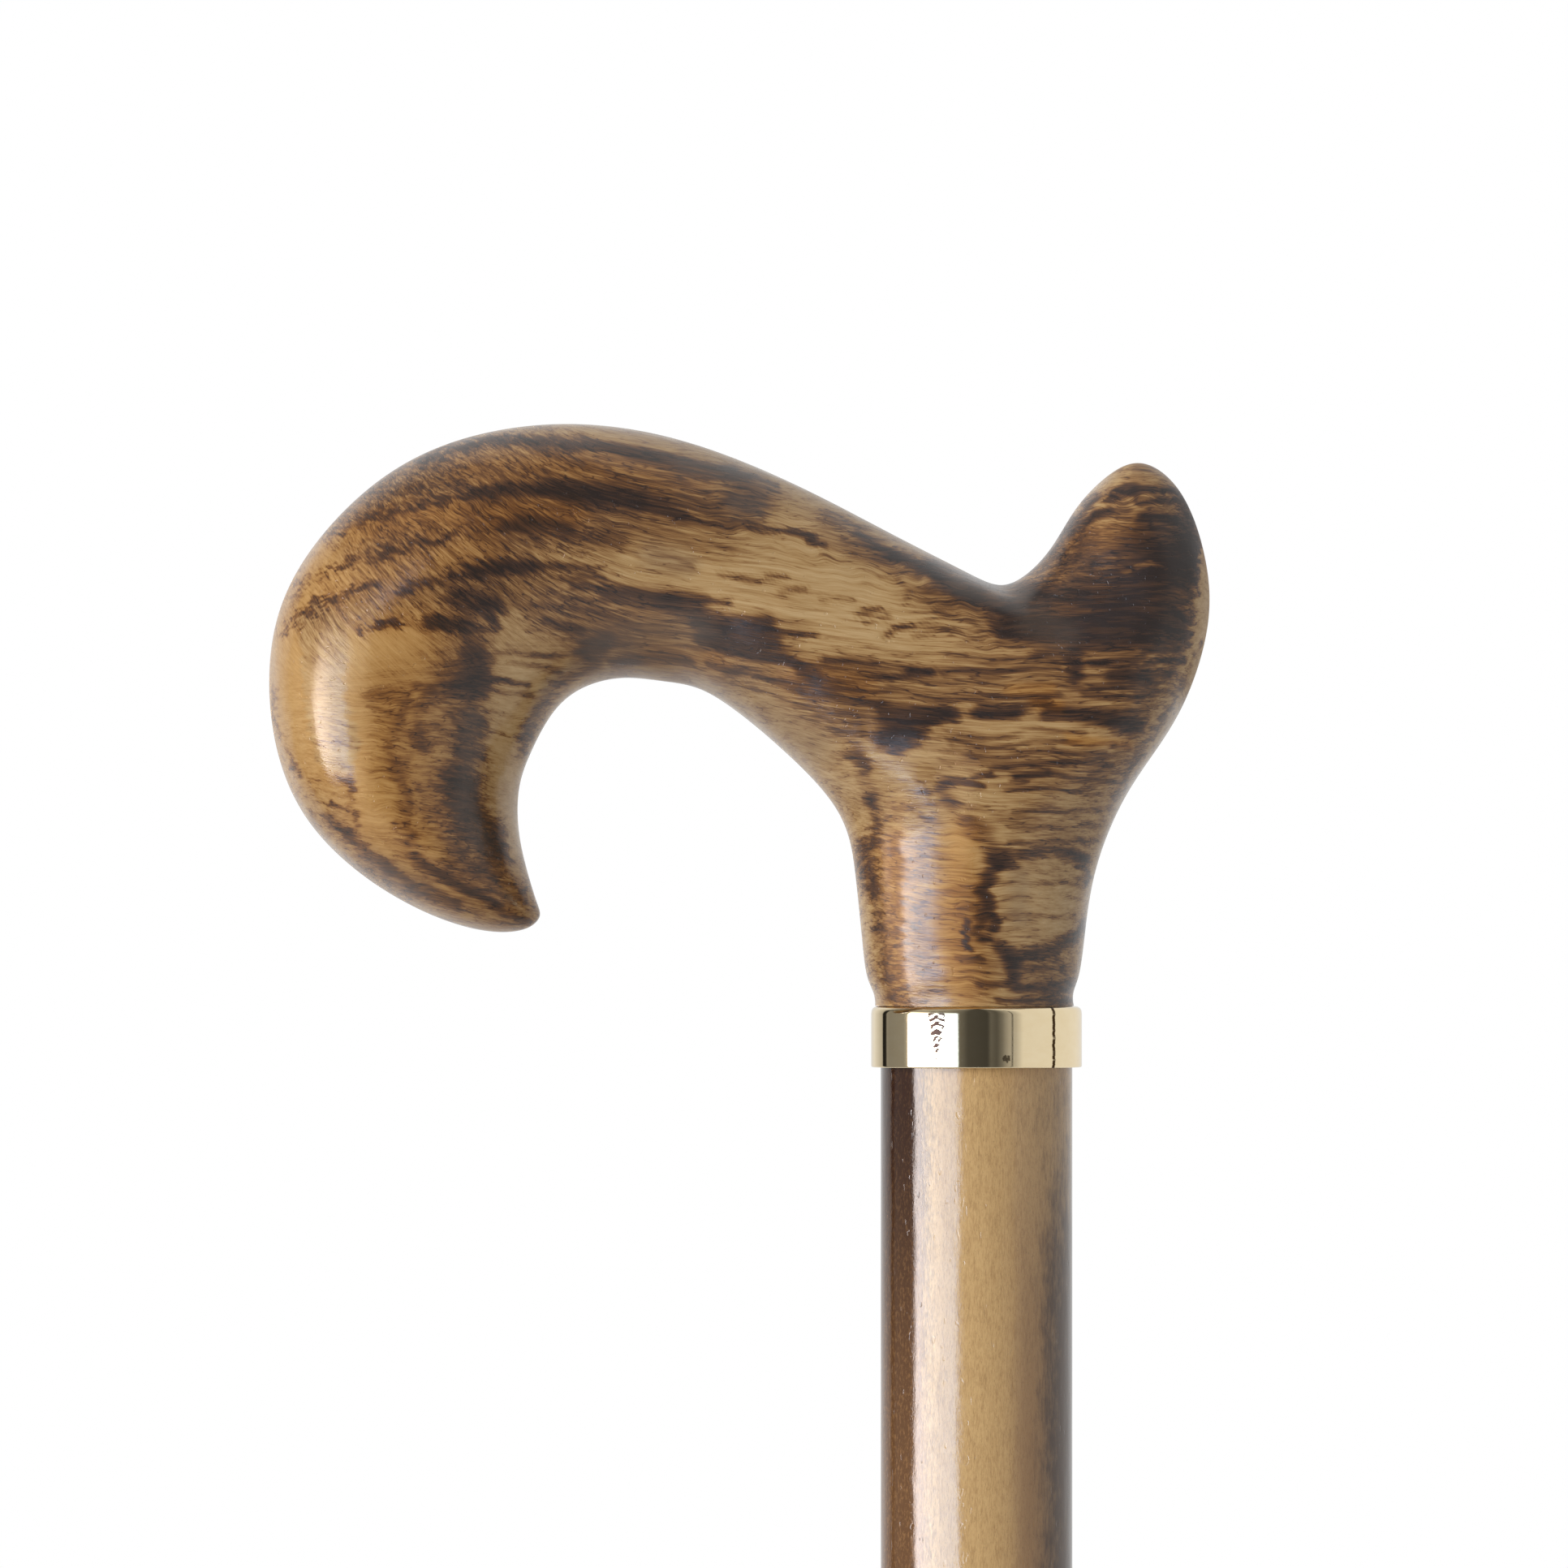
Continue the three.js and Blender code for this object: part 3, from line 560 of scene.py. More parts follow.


# The handle's scorched figure, drawn on its side. A stroke is its darkness, its half width as a
# share of the handle's length, and its points as shares of the length from the nose and of the height
# above the collar. A negative darkness clears what was drawn before it.
SCORCH_STROKE_SHARES = (
    # Broad browning round the bands
    (0.38, 0.0466, (0.112, 0.838), (0.181, 0.894), (0.302, 0.908), (0.423, 0.899), (0.492, 0.880)),
    (0.27, 0.0345, (0.233, 0.838), (0.319, 0.838), (0.406, 0.824), (0.466, 0.817)),
    (0.3, 0.0397, (0.147, 0.768), (0.250, 0.782), (0.336, 0.782)),
    (0.27, 0.0293, (0.086, 0.677), (0.198, 0.698), (0.302, 0.687), (0.414, 0.691)),
    (0.25, 0.0362, (0.207, 0.601), (0.207, 0.503), (0.205, 0.377), (0.224, 0.272)),
    (0.24, 0.038, (0.138, 0.517), (0.147, 0.405), (0.164, 0.293)),
    (0.12, 0.0259, (0.060, 0.363), (0.086, 0.293), (0.138, 0.216)),
    (0.3, 0.0259, (0.121, 0.243), (0.198, 0.189), (0.267, 0.168)),
    (0.32, 0.0345, (0.349, 0.628), (0.449, 0.622), (0.544, 0.587), (0.621, 0.503)),
    (0.3, 0.0293, (0.595, 0.561), (0.751, 0.561), (0.897, 0.556), (0.945, 0.564)),
    (0.2, 0.0173, (0.906, 0.475), (0.923, 0.517)),
    (0.25, 0.0259, (0.699, 0.454), (0.794, 0.440), (0.906, 0.433)),
    (0.45, 0.0431, (0.837, 0.754), (0.923, 0.754), (0.949, 0.810)),
    (0.35, 0.0345, (0.794, 0.670), (0.923, 0.656)),
    (0.3, 0.0207, (0.854, 0.768), (0.923, 0.796)),
    (0.38, 0.0293, (0.675, 0.349), (0.677, 0.196), (0.682, 0.035)),
    (0.12, 0.0224, (0.718, 0.251), (0.720, 0.035)),
    (0.3, 0.0224, (0.742, 0.196), (0.751, 0.042)),
    (0.25, 0.0293, (0.811, 0.335), (0.863, 0.335)),
    (0.28, 0.0345, (0.828, 0.070), (0.837, 0.014)),
    (0.32, 0.0224, (0.604, 0.824), (0.690, 0.737), (0.759, 0.691)),
    (-0.85, 0.0104, (0.311, 0.994), (0.388, 0.980), (0.457, 0.955), (0.518, 0.922), (0.578, 0.880),
     (0.638, 0.830), (0.690, 0.782)),
    # The back's upper bands
    (0.75, 0.006, (0.164, 0.933), (0.198, 0.954), (0.233, 0.965), (0.276, 0.964), (0.319, 0.957),
     (0.362, 0.953), (0.406, 0.941), (0.449, 0.926), (0.492, 0.911)),
    (0.6, 0.0035, (0.492, 0.911), (0.518, 0.902), (0.539, 0.890)),
    (0.35, 0.0031, (0.380, 0.940), (0.449, 0.911), (0.496, 0.897)),
    (0.5, 0.0043, (0.060, 0.800), (0.082, 0.820), (0.104, 0.834)),
    (0.65, 0.0043, (0.104, 0.834), (0.147, 0.849), (0.173, 0.858), (0.203, 0.869), (0.233, 0.877)),
    (0.8, 0.0078, (0.229, 0.878), (0.267, 0.881), (0.319, 0.878)),
    (0.95, 0.0104, (0.311, 0.878), (0.362, 0.872), (0.393, 0.859)),
    (0.85, 0.006, (0.388, 0.860), (0.418, 0.848), (0.440, 0.839)),
    (0.35, 0.0031, (0.397, 0.874), (0.449, 0.855), (0.475, 0.851)),
    (0.35, 0.0031, (0.104, 0.873), (0.147, 0.878), (0.207, 0.890)),
    (0.4, 0.0138, (0.496, 0.877), (0.513, 0.849)),
    (0.8, 0.0078, (0.250, 0.816), (0.285, 0.821), (0.319, 0.810)),
    (0.4, 0.0086, (0.319, 0.807), (0.371, 0.793)),
    (0.64, 0.0031, (0.198, 0.809), (0.186, 0.793), (0.155, 0.789), (0.142, 0.774), (0.128, 0.777),
     (0.116, 0.763)),
    (0.8, 0.0052, (0.121, 0.774), (0.136, 0.770)),
    (0.5, 0.0039, (0.112, 0.765), (0.095, 0.758), (0.073, 0.746)),
    (0.4, 0.0043, (0.073, 0.746), (0.060, 0.737), (0.039, 0.728), (0.024, 0.691)),
    (0.64, 0.0031, (0.513, 0.817), (0.544, 0.809)),
    (0.8, 0.0035, (0.550, 0.811), (0.578, 0.799)),
    (0.8, 0.0035, (0.575, 0.791), (0.591, 0.785)),
    (0.4, 0.0031, (0.594, 0.781), (0.621, 0.771)),
    # The middle bands, from the nose to the arch
    (0.5, 0.0035, (0.013, 0.634), (0.030, 0.654)),
    (0.65, 0.0052, (0.036, 0.665), (0.056, 0.682), (0.078, 0.694), (0.091, 0.703)),
    (0.65, 0.0035, (0.095, 0.708), (0.117, 0.714)),
    (0.65, 0.0035, (0.133, 0.705), (0.148, 0.709)),
    (0.65, 0.0043, (0.147, 0.716), (0.173, 0.721), (0.198, 0.729)),
    (0.9, 0.0086, (0.216, 0.737), (0.246, 0.746), (0.278, 0.751)),
    (0.6, 0.0035, (0.276, 0.750), (0.319, 0.746), (0.355, 0.746)),
    (0.44, 0.0031, (0.311, 0.728), (0.354, 0.732)),
    (0.7, 0.0035, (0.319, 0.716), (0.349, 0.711)),
    (0.85, 0.0078, (0.358, 0.707), (0.384, 0.701), (0.416, 0.691)),
    (0.8, 0.0104, (0.428, 0.691), (0.454, 0.687)),
    (0.6, 0.0043, (0.462, 0.690), (0.488, 0.687)),
    (0.7, 0.0078, (0.416, 0.691), (0.440, 0.673), (0.454, 0.659)),
    (0.9, 0.0104, (0.461, 0.649), (0.487, 0.645), (0.525, 0.648)),
    (0.8, 0.0078, (0.459, 0.624), (0.496, 0.620), (0.535, 0.620)),
    (0.5, 0.0035, (0.531, 0.638), (0.578, 0.631)),
    (0.85, 0.006, (0.475, 0.612), (0.509, 0.601), (0.544, 0.592), (0.563, 0.578)),
    (0.85, 0.0069, (0.564, 0.573), (0.578, 0.561)),
    (0.59, 0.0031, (0.578, 0.557), (0.621, 0.554), (0.664, 0.559), (0.703, 0.567)),
    (0.8, 0.0043, (0.591, 0.589), (0.617, 0.589), (0.640, 0.585)),
    (0.44, 0.0031, (0.640, 0.584), (0.682, 0.575)),
    (0.7, 0.0035, (0.680, 0.568), (0.703, 0.570)),
    (0.55, 0.0078, (0.233, 0.682), (0.243, 0.642)),
    (0.7, 0.0121, (0.203, 0.691), (0.233, 0.684)),
    (0.95, 0.0052, (0.117, 0.648), (0.140, 0.651)),
    (1, 0.0069, (0.171, 0.654), (0.209, 0.648)),
    (0.5, 0.0035, (0.095, 0.635), (0.117, 0.641)),
    (0.44, 0.0031, (0.212, 0.638), (0.250, 0.644)),
    (0.55, 0.0052, (0.295, 0.654), (0.330, 0.640)),
    (0.31, 0.0031, (0.280, 0.682), (0.354, 0.673)),
    (0.31, 0.0031, (0.311, 0.697), (0.362, 0.687)),
    (0.65, 0.0095, (0.338, 0.608), (0.358, 0.622)),
    # The beak
    (0.1, 0.019, (0.053, 0.642), (0.057, 0.531), (0.067, 0.433)),
    (0.45, 0.0138, (0.207, 0.628), (0.214, 0.601)),
    (0.7, 0.0173, (0.204, 0.550), (0.224, 0.556)),
    (0.3, 0.0121, (0.217, 0.545), (0.212, 0.440)),
    (0.4, 0.0138, (0.205, 0.426), (0.204, 0.356)),
    (-0.35, 0.0121, (0.195, 0.608), (0.181, 0.587)),
    (-0.4, 0.0104, (0.164, 0.426), (0.186, 0.426)),
    (0.5, 0.0121, (0.217, 0.594), (0.220, 0.566)),
    (0.4, 0.0052, (0.157, 0.542), (0.173, 0.536)),
    (0.4, 0.0069, (0.108, 0.528), (0.147, 0.520)),
    (0.57, 0.0031, (0.108, 0.506), (0.129, 0.497)),
    (0.3, 0.0104, (0.186, 0.587), (0.178, 0.531)),
    (0.34, 0.006, (0.167, 0.528), (0.157, 0.475), (0.164, 0.440)),
    (0.3, 0.0052, (0.147, 0.522), (0.140, 0.489), (0.133, 0.468)),
    (0.3, 0.0121, (0.198, 0.503), (0.216, 0.475)),
    (0.15, 0.0224, (0.133, 0.545), (0.124, 0.468), (0.129, 0.391), (0.147, 0.293)),
    (0.45, 0.0043, (0.154, 0.447), (0.171, 0.436)),
    (0.35, 0.0052, (0.128, 0.430), (0.147, 0.416)),
    (0.5, 0.0155, (0.192, 0.394), (0.200, 0.370)),
    (0.5, 0.0138, (0.200, 0.384), (0.209, 0.349)),
    (0.6, 0.0207, (0.217, 0.307), (0.233, 0.286)),
    (0.55, 0.0155, (0.242, 0.263), (0.243, 0.237)),
    (0.4, 0.0138, (0.198, 0.249), (0.224, 0.230)),
    (0.48, 0.0031, (0.198, 0.335), (0.224, 0.318)),
    (0.44, 0.0031, (0.181, 0.286), (0.198, 0.272)),
    (0.54, 0.0031, (0.240, 0.212), (0.274, 0.196)),
    (0.44, 0.0031, (0.233, 0.198), (0.267, 0.184)),
    (0.75, 0.0052, (0.154, 0.249), (0.181, 0.221), (0.207, 0.201), (0.233, 0.180), (0.245, 0.166)),
    (-0.7, 0.0069, (0.280, 0.196), (0.284, 0.159)),
    (0.5, 0.0035, (0.250, 0.156), (0.276, 0.145)),
    (0.5, 0.0086, (0.082, 0.291), (0.104, 0.263), (0.129, 0.232)),
    (0.48, 0.0078, (0.129, 0.232), (0.160, 0.201), (0.198, 0.168)),
    (0.66, 0.0031, (0.067, 0.344), (0.086, 0.332)),
    (0.4, 0.0069, (0.065, 0.318), (0.086, 0.286)),
    (0.5, 0.0035, (0.076, 0.388), (0.095, 0.366)),
    (0.44, 0.0031, (0.135, 0.310), (0.151, 0.291), (0.147, 0.272)),
    (0.44, 0.0031, (0.006, 0.545), (0.006, 0.489), (0.013, 0.454)),
    (0.4, 0.0031, (0.019, 0.433), (0.031, 0.388)),
    (-0.95, 0.0155, (0.259, 0.649), (0.252, 0.531), (0.249, 0.447), (0.252, 0.370)),
    (-0.85, 0.0104, (0.243, 0.440), (0.243, 0.384), (0.245, 0.335)),
    (0.4, 0.0035, (0.086, 0.398), (0.092, 0.335), (0.096, 0.304)),
    (0.42, 0.0069, (0.267, 0.433), (0.280, 0.482), (0.306, 0.546), (0.338, 0.581), (0.355, 0.606)),
    (-0.9, 0.0095, (0.255, 0.363), (0.261, 0.321), (0.266, 0.272), (0.272, 0.230)),
    (0.36, 0.0069, (0.127, 0.444), (0.136, 0.405), (0.147, 0.370)),
    (0.2, 0.0086, (0.147, 0.370), (0.147, 0.289), (0.161, 0.239)),
    (-0.45, 0.0052, (0.098, 0.395), (0.105, 0.339), (0.105, 0.289), (0.129, 0.250), (0.158, 0.216)),
    (-0.4, 0.0043, (0.154, 0.406), (0.158, 0.351), (0.158, 0.306)),
    (0.55, 0.0035, (0.238, 0.556), (0.276, 0.545)),
    (0.44, 0.0031, (0.238, 0.536), (0.280, 0.528)),
    (0.31, 0.0031, (0.242, 0.603), (0.311, 0.592)),
    (0.35, 0.0031, (0.255, 0.584), (0.311, 0.570)),
    (0.27, 0.0031, (0.237, 0.503), (0.276, 0.489)),
    (0.27, 0.0031, (0.237, 0.468), (0.267, 0.454)),
    # The underside of the arch and the neck
    (0.55, 0.0052, (0.362, 0.584), (0.406, 0.592), (0.444, 0.587)),
    (0.65, 0.0043, (0.466, 0.584), (0.518, 0.561), (0.565, 0.534)),
    (0.6, 0.0035, (0.565, 0.534), (0.604, 0.522), (0.651, 0.514)),
    (0.4, 0.0031, (0.544, 0.556), (0.587, 0.539), (0.630, 0.534)),
    (0.31, 0.0031, (0.492, 0.552), (0.535, 0.528), (0.578, 0.506)),
    (0.31, 0.0031, (0.578, 0.496), (0.630, 0.489), (0.651, 0.492)),
    (0.85, 0.0086, (0.651, 0.500), (0.682, 0.497), (0.716, 0.497)),
    (0.9, 0.0147, (0.667, 0.468), (0.680, 0.468)),
    (0.9, 0.0078, (0.699, 0.489), (0.723, 0.494)),
    (0.9, 0.0104, (0.651, 0.454), (0.666, 0.440)),
    (-0.9, 0.0112, (0.645, 0.391), (0.677, 0.404), (0.701, 0.433), (0.716, 0.464)),
    (-0.6, 0.0207, (0.669, 0.356), (0.680, 0.321)),
    (0.35, 0.0031, (0.595, 0.468), (0.647, 0.458)),
    (0.5, 0.0052, (0.613, 0.426), (0.632, 0.416)),
    (0.39, 0.0031, (0.708, 0.673), (0.735, 0.682), (0.761, 0.666), (0.770, 0.648), (0.761, 0.630),
     (0.739, 0.624)),
    (0.74, 0.0031, (0.654, 0.634), (0.666, 0.645), (0.683, 0.648)),
    (0.39, 0.0031, (0.682, 0.628), (0.708, 0.638), (0.733, 0.634)),
    (0.39, 0.0031, (0.689, 0.654), (0.716, 0.662), (0.747, 0.654)),
    (0.55, 0.0035, (0.623, 0.665), (0.647, 0.676)),
    (0.44, 0.0031, (0.633, 0.654), (0.656, 0.665)),
    (0.31, 0.0031, (0.585, 0.690), (0.619, 0.691)),
    (0.44, 0.0031, (0.526, 0.728), (0.550, 0.730)),
    (0.31, 0.0031, (0.544, 0.704), (0.569, 0.709)),
    (0.31, 0.0031, (0.475, 0.737), (0.522, 0.723)),
    (0.27, 0.0031, (0.651, 0.732), (0.675, 0.746)),
    (0.23, 0.0031, (0.663, 0.732), (0.680, 0.705), (0.675, 0.684)),
    (0.75, 0.0052, (0.621, 0.806), (0.643, 0.785), (0.664, 0.768)),
    (0.8, 0.006, (0.663, 0.768), (0.686, 0.751), (0.704, 0.735)),
    (0.85, 0.0078, (0.702, 0.737), (0.725, 0.716), (0.751, 0.701)),
    (0.55, 0.0052, (0.699, 0.754), (0.733, 0.737), (0.770, 0.718)),
    (0.79, 0.0031, (0.770, 0.732), (0.787, 0.722)),
    (0.44, 0.0031, (0.449, 0.751), (0.427, 0.764), (0.406, 0.768)),
    (0.35, 0.0031, (0.375, 0.777), (0.393, 0.771)),
    # The tail
    (0.9, 0.0086, (0.894, 0.869), (0.915, 0.877)),
    (0.3, 0.0121, (0.910, 0.905), (0.940, 0.913), (0.958, 0.894)),
    (-0.5, 0.0052, (0.871, 0.838), (0.893, 0.894), (0.913, 0.919)),
    (0.53, 0.0031, (0.968, 0.659), (0.984, 0.665), (0.997, 0.676)),
    (0.44, 0.0031, (0.965, 0.628), (0.978, 0.634), (0.991, 0.645)),
    (0.48, 0.0031, (0.958, 0.606), (0.975, 0.615), (0.987, 0.620)),
    (0.44, 0.0031, (0.949, 0.581), (0.968, 0.587), (0.980, 0.598)),
    (0.4, 0.0031, (0.977, 0.696), (0.987, 0.701), (0.999, 0.709)),
    (0.7, 0.0043, (0.919, 0.883), (0.945, 0.877), (0.966, 0.883)),
    (0.75, 0.0035, (0.921, 0.855), (0.949, 0.863), (0.968, 0.863)),
    (0.8, 0.0069, (0.971, 0.866), (0.982, 0.838)),
    (0.5, 0.0052, (0.880, 0.838), (0.906, 0.846)),
    (0.75, 0.0052, (0.925, 0.831), (0.958, 0.830)),
    (0.6, 0.0043, (0.847, 0.807), (0.870, 0.828), (0.890, 0.844)),
    (0.55, 0.006, (0.837, 0.810), (0.858, 0.838), (0.876, 0.869)),
    (0.8, 0.0259, (0.923, 0.691), (0.958, 0.754)),
    (0.95, 0.0207, (0.949, 0.754), (0.968, 0.782)),
    (1, 0.0224, (0.945, 0.729), (0.968, 0.737)),
    (0.8, 0.0121, (0.973, 0.824), (0.977, 0.768)),
    (0.6, 0.0104, (0.919, 0.782), (0.940, 0.799)),
    (0.55, 0.0035, (0.876, 0.751), (0.923, 0.749)),
    (0.75, 0.0173, (0.871, 0.709), (0.923, 0.709)),
    (0.95, 0.0224, (0.897, 0.654), (0.958, 0.663)),
    (-0.9, 0.0095, (0.996, 0.768), (0.997, 0.691), (0.989, 0.628), (0.978, 0.573)),
    (-0.4, 0.0031, (0.880, 0.746), (0.899, 0.749), (0.913, 0.740)),
    (-0.4, 0.0031, (0.920, 0.747), (0.934, 0.754), (0.947, 0.746)),
    (-0.4, 0.0031, (0.899, 0.872), (0.911, 0.863)),
    (-0.4, 0.0031, (0.923, 0.865), (0.945, 0.870), (0.959, 0.865)),
    (-0.35, 0.0078, (0.837, 0.670), (0.863, 0.673)),
    (0.7, 0.0155, (0.863, 0.628), (0.958, 0.640)),
    (0.75, 0.0112, (0.804, 0.701), (0.863, 0.696)),
    (0.95, 0.0147, (0.785, 0.659), (0.837, 0.648), (0.880, 0.648)),
    (0.75, 0.0086, (0.778, 0.635), (0.854, 0.624)),
    (0.6, 0.0069, (0.755, 0.691), (0.794, 0.675)),
    (0.5, 0.0043, (0.811, 0.601), (0.846, 0.598)),
    (0.75, 0.0086, (0.852, 0.598), (0.856, 0.561)),
    (0.8, 0.0078, (0.896, 0.561), (0.928, 0.559)),
    (0.55, 0.0043, (0.871, 0.584), (0.923, 0.594)),
    (0.53, 0.0031, (0.923, 0.606), (0.966, 0.606)),
    (0.44, 0.0031, (0.940, 0.587), (0.968, 0.589)),
    (0.44, 0.0031, (0.871, 0.542), (0.940, 0.545)),
    (0.4, 0.0031, (0.716, 0.566), (0.785, 0.573), (0.837, 0.575)),
    (0.8, 0.0078, (0.752, 0.499), (0.789, 0.500)),
    (0.6, 0.0043, (0.789, 0.503), (0.824, 0.520)),
    (0.8, 0.0078, (0.824, 0.500), (0.863, 0.496), (0.897, 0.489)),
    (0.8, 0.006, (0.893, 0.485), (0.928, 0.479)),
    (0.44, 0.0031, (0.708, 0.522), (0.759, 0.522), (0.837, 0.528)),
    (0.44, 0.0031, (0.863, 0.528), (0.923, 0.522)),
    (-0.6, 0.0138, (0.733, 0.458), (0.897, 0.454)),
    (0.4, 0.0031, (0.716, 0.468), (0.759, 0.455), (0.785, 0.458), (0.807, 0.471), (0.863, 0.464)),
    (0.44, 0.0031, (0.720, 0.450), (0.759, 0.436), (0.789, 0.440), (0.811, 0.453), (0.897, 0.444)),
    (0.44, 0.0031, (0.742, 0.425), (0.781, 0.422), (0.807, 0.433), (0.889, 0.427)),
    (0.54, 0.0031, (0.764, 0.405), (0.804, 0.408), (0.854, 0.413), (0.897, 0.408)),
    (0.75, 0.0043, (0.789, 0.388), (0.828, 0.395)),
    (0.55, 0.0043, (0.923, 0.561), (0.953, 0.567)),
    (0.49, 0.0031, (0.928, 0.584), (0.966, 0.592)),
    (0.5, 0.0035, (0.915, 0.528), (0.949, 0.534)),
    (0.4, 0.0031, (0.906, 0.503), (0.939, 0.508)),
    (0.5, 0.0035, (0.897, 0.468), (0.928, 0.468)),
    (0.4, 0.0031, (0.893, 0.440), (0.916, 0.440)),
    (0.4, 0.0035, (0.989, 0.622), (0.968, 0.547), (0.940, 0.472), (0.910, 0.397), (0.890, 0.330)),
    (-0.5, 0.006, (0.977, 0.545), (0.951, 0.472), (0.921, 0.394), (0.899, 0.321)),
    (0.6, 0.0035, (0.828, 0.394), (0.871, 0.383), (0.899, 0.380)),
    # The stem
    (0.35, 0.0069, (0.621, 0.440), (0.632, 0.398), (0.637, 0.356)),
    (0.42, 0.0052, (0.637, 0.356), (0.644, 0.314), (0.645, 0.279)),
    (0.55, 0.0095, (0.633, 0.274), (0.633, 0.235), (0.638, 0.201)),
    (0.34, 0.0069, (0.640, 0.207), (0.645, 0.161), (0.649, 0.126)),
    (0.26, 0.0052, (0.651, 0.126), (0.655, 0.084), (0.656, 0.050)),
    (0.36, 0.0043, (0.656, 0.050), (0.659, 0.025), (0.663, 0.000)),
    (0.7, 0.0043, (0.709, 0.374), (0.726, 0.383), (0.751, 0.374)),
    (0.48, 0.0031, (0.742, 0.388), (0.764, 0.394)),
    (0.5, 0.0069, (0.716, 0.356), (0.726, 0.342)),
    (0.31, 0.0031, (0.690, 0.321), (0.701, 0.316)),
    (0.45, 0.0104, (0.740, 0.310), (0.759, 0.286)),
    (0.8, 0.0112, (0.770, 0.254), (0.782, 0.249)),
    (0.75, 0.0078, (0.772, 0.235), (0.758, 0.209), (0.758, 0.189)),
    (0.75, 0.0069, (0.758, 0.189), (0.764, 0.156), (0.768, 0.133)),
    (0.65, 0.006, (0.755, 0.154), (0.751, 0.126), (0.761, 0.112)),
    (0.98, 0.0031, (0.738, 0.140), (0.740, 0.115), (0.743, 0.094)),
    (0.44, 0.0031, (0.728, 0.081), (0.756, 0.078)),
    (0.4, 0.0031, (0.730, 0.165), (0.751, 0.168)),
    (0.75, 0.0078, (0.775, 0.095), (0.789, 0.070), (0.790, 0.035)),
    (0.66, 0.0069, (0.799, 0.257), (0.837, 0.263), (0.861, 0.251)),
    (0.5, 0.0052, (0.854, 0.251), (0.868, 0.229), (0.866, 0.207)),
    (0.7, 0.0069, (0.868, 0.137), (0.847, 0.109), (0.820, 0.089), (0.785, 0.081)),
    (-0.95, 0.0233, (0.794, 0.193), (0.839, 0.198), (0.839, 0.161), (0.799, 0.140)),
    (-0.6, 0.0173, (0.794, 0.328), (0.863, 0.328)),
    (0.7, 0.006, (0.796, 0.028), (0.828, 0.025), (0.854, 0.034)),
    (0.7, 0.0043, (0.751, 0.034), (0.781, 0.034)),
    (0.5, 0.0043, (0.772, 0.006), (0.854, 0.006)),
    (0.35, 0.0031, (0.778, 0.363), (0.828, 0.369), (0.880, 0.360)),
    (0.35, 0.0031, (0.789, 0.330), (0.880, 0.330)),
    (0.31, 0.0031, (0.785, 0.304), (0.880, 0.304)),
    (0.44, 0.0031, (0.785, 0.279), (0.876, 0.279)),
    (0.27, 0.0031, (0.772, 0.207), (0.863, 0.207)),
    (0.23, 0.0031, (0.777, 0.179), (0.861, 0.182)),
    (0.27, 0.0031, (0.778, 0.145), (0.854, 0.151)),
    (0.23, 0.0031, (0.794, 0.059), (0.854, 0.061)),
)

# Wood that stayed light, in the same form; on the beak's inner face it is partly painted light
PALE_STROKE_SHARES = (
    (0.3, 0.0259, (0.069, 0.615), (0.073, 0.503), (0.082, 0.405)),
    (0.4, 0.0293, (0.121, 0.601), (0.116, 0.475), (0.112, 0.363), (0.147, 0.251)),
    # The beak's inner face: partly a pale band in the wood, partly painted light on a face that the key
    # lamp leaves in shade
    (0.9, 0.0138, (0.261, 0.573), (0.252, 0.475), (0.252, 0.377), (0.262, 0.279)),
    (0.5, 0.038, (0.345, 0.754), (0.449, 0.737), (0.552, 0.705), (0.647, 0.684)),
    (0.5, 0.0173, (0.708, 0.615), (0.630, 0.615), (0.578, 0.601)),
    (0.7, 0.0121, (0.772, 0.196), (0.811, 0.182), (0.846, 0.182), (0.828, 0.133)),
    (0.3, 0.0104, (0.889, 0.908), (0.923, 0.911), (0.953, 0.908)),
    (0.5, 0.0104, (0.991, 0.726), (0.991, 0.628), (0.977, 0.573)),
    (0.5, 0.0138, (0.121, 0.349), (0.129, 0.279)),
    (0.2, 0.019, (0.673, 0.384), (0.680, 0.335)),
    (0.5, 0.0078, (0.725, 0.468), (0.785, 0.475), (0.871, 0.472)),
    (0.5, 0.0086, (0.276, 0.768), (0.319, 0.774), (0.380, 0.754)),
    (0.5, 0.0259, (0.022, 0.587), (0.035, 0.475)),
)

# Wood that the flame turned amber
AMBER_STROKE_SHARES = (
    (0.8, 0.0431, (0.043, 0.768), (0.026, 0.642), (0.030, 0.531), (0.047, 0.405)),
    (1, 0.0518, (0.147, 0.615), (0.138, 0.531), (0.129, 0.433), (0.129, 0.335)),
    (0.7, 0.0345, (0.095, 0.307), (0.147, 0.223), (0.233, 0.182)),
    (0.8, 0.0293, (0.164, 0.391), (0.164, 0.293)),
    (0.8, 0.019, (0.095, 0.810), (0.147, 0.831), (0.233, 0.838), (0.319, 0.838)),
    (0.6, 0.0224, (0.078, 0.712), (0.147, 0.754), (0.233, 0.782)),
    (0.5, 0.019, (0.207, 0.915), (0.336, 0.922), (0.457, 0.901)),
    (0.7, 0.0138, (0.406, 0.603), (0.475, 0.584)),
    (0.9, 0.019, (0.738, 0.293), (0.733, 0.209)),
    (0.9, 0.0259, (0.733, 0.168), (0.738, 0.035)),
    (0.5, 0.0259, (0.669, 0.251), (0.690, 0.056)),
    (0.4, 0.0173, (0.863, 0.796), (0.915, 0.803)),
    (1, 0.0069, (0.811, 0.514), (0.837, 0.508)),
    (1, 0.006, (0.846, 0.454), (0.915, 0.444)),
    (0.8, 0.0069, (0.785, 0.538), (0.828, 0.538)),
    (0.6, 0.0173, (0.630, 0.545), (0.561, 0.561)),
    (-0.9, 0.0224, (0.056, 0.642), (0.060, 0.531), (0.073, 0.433)),
)
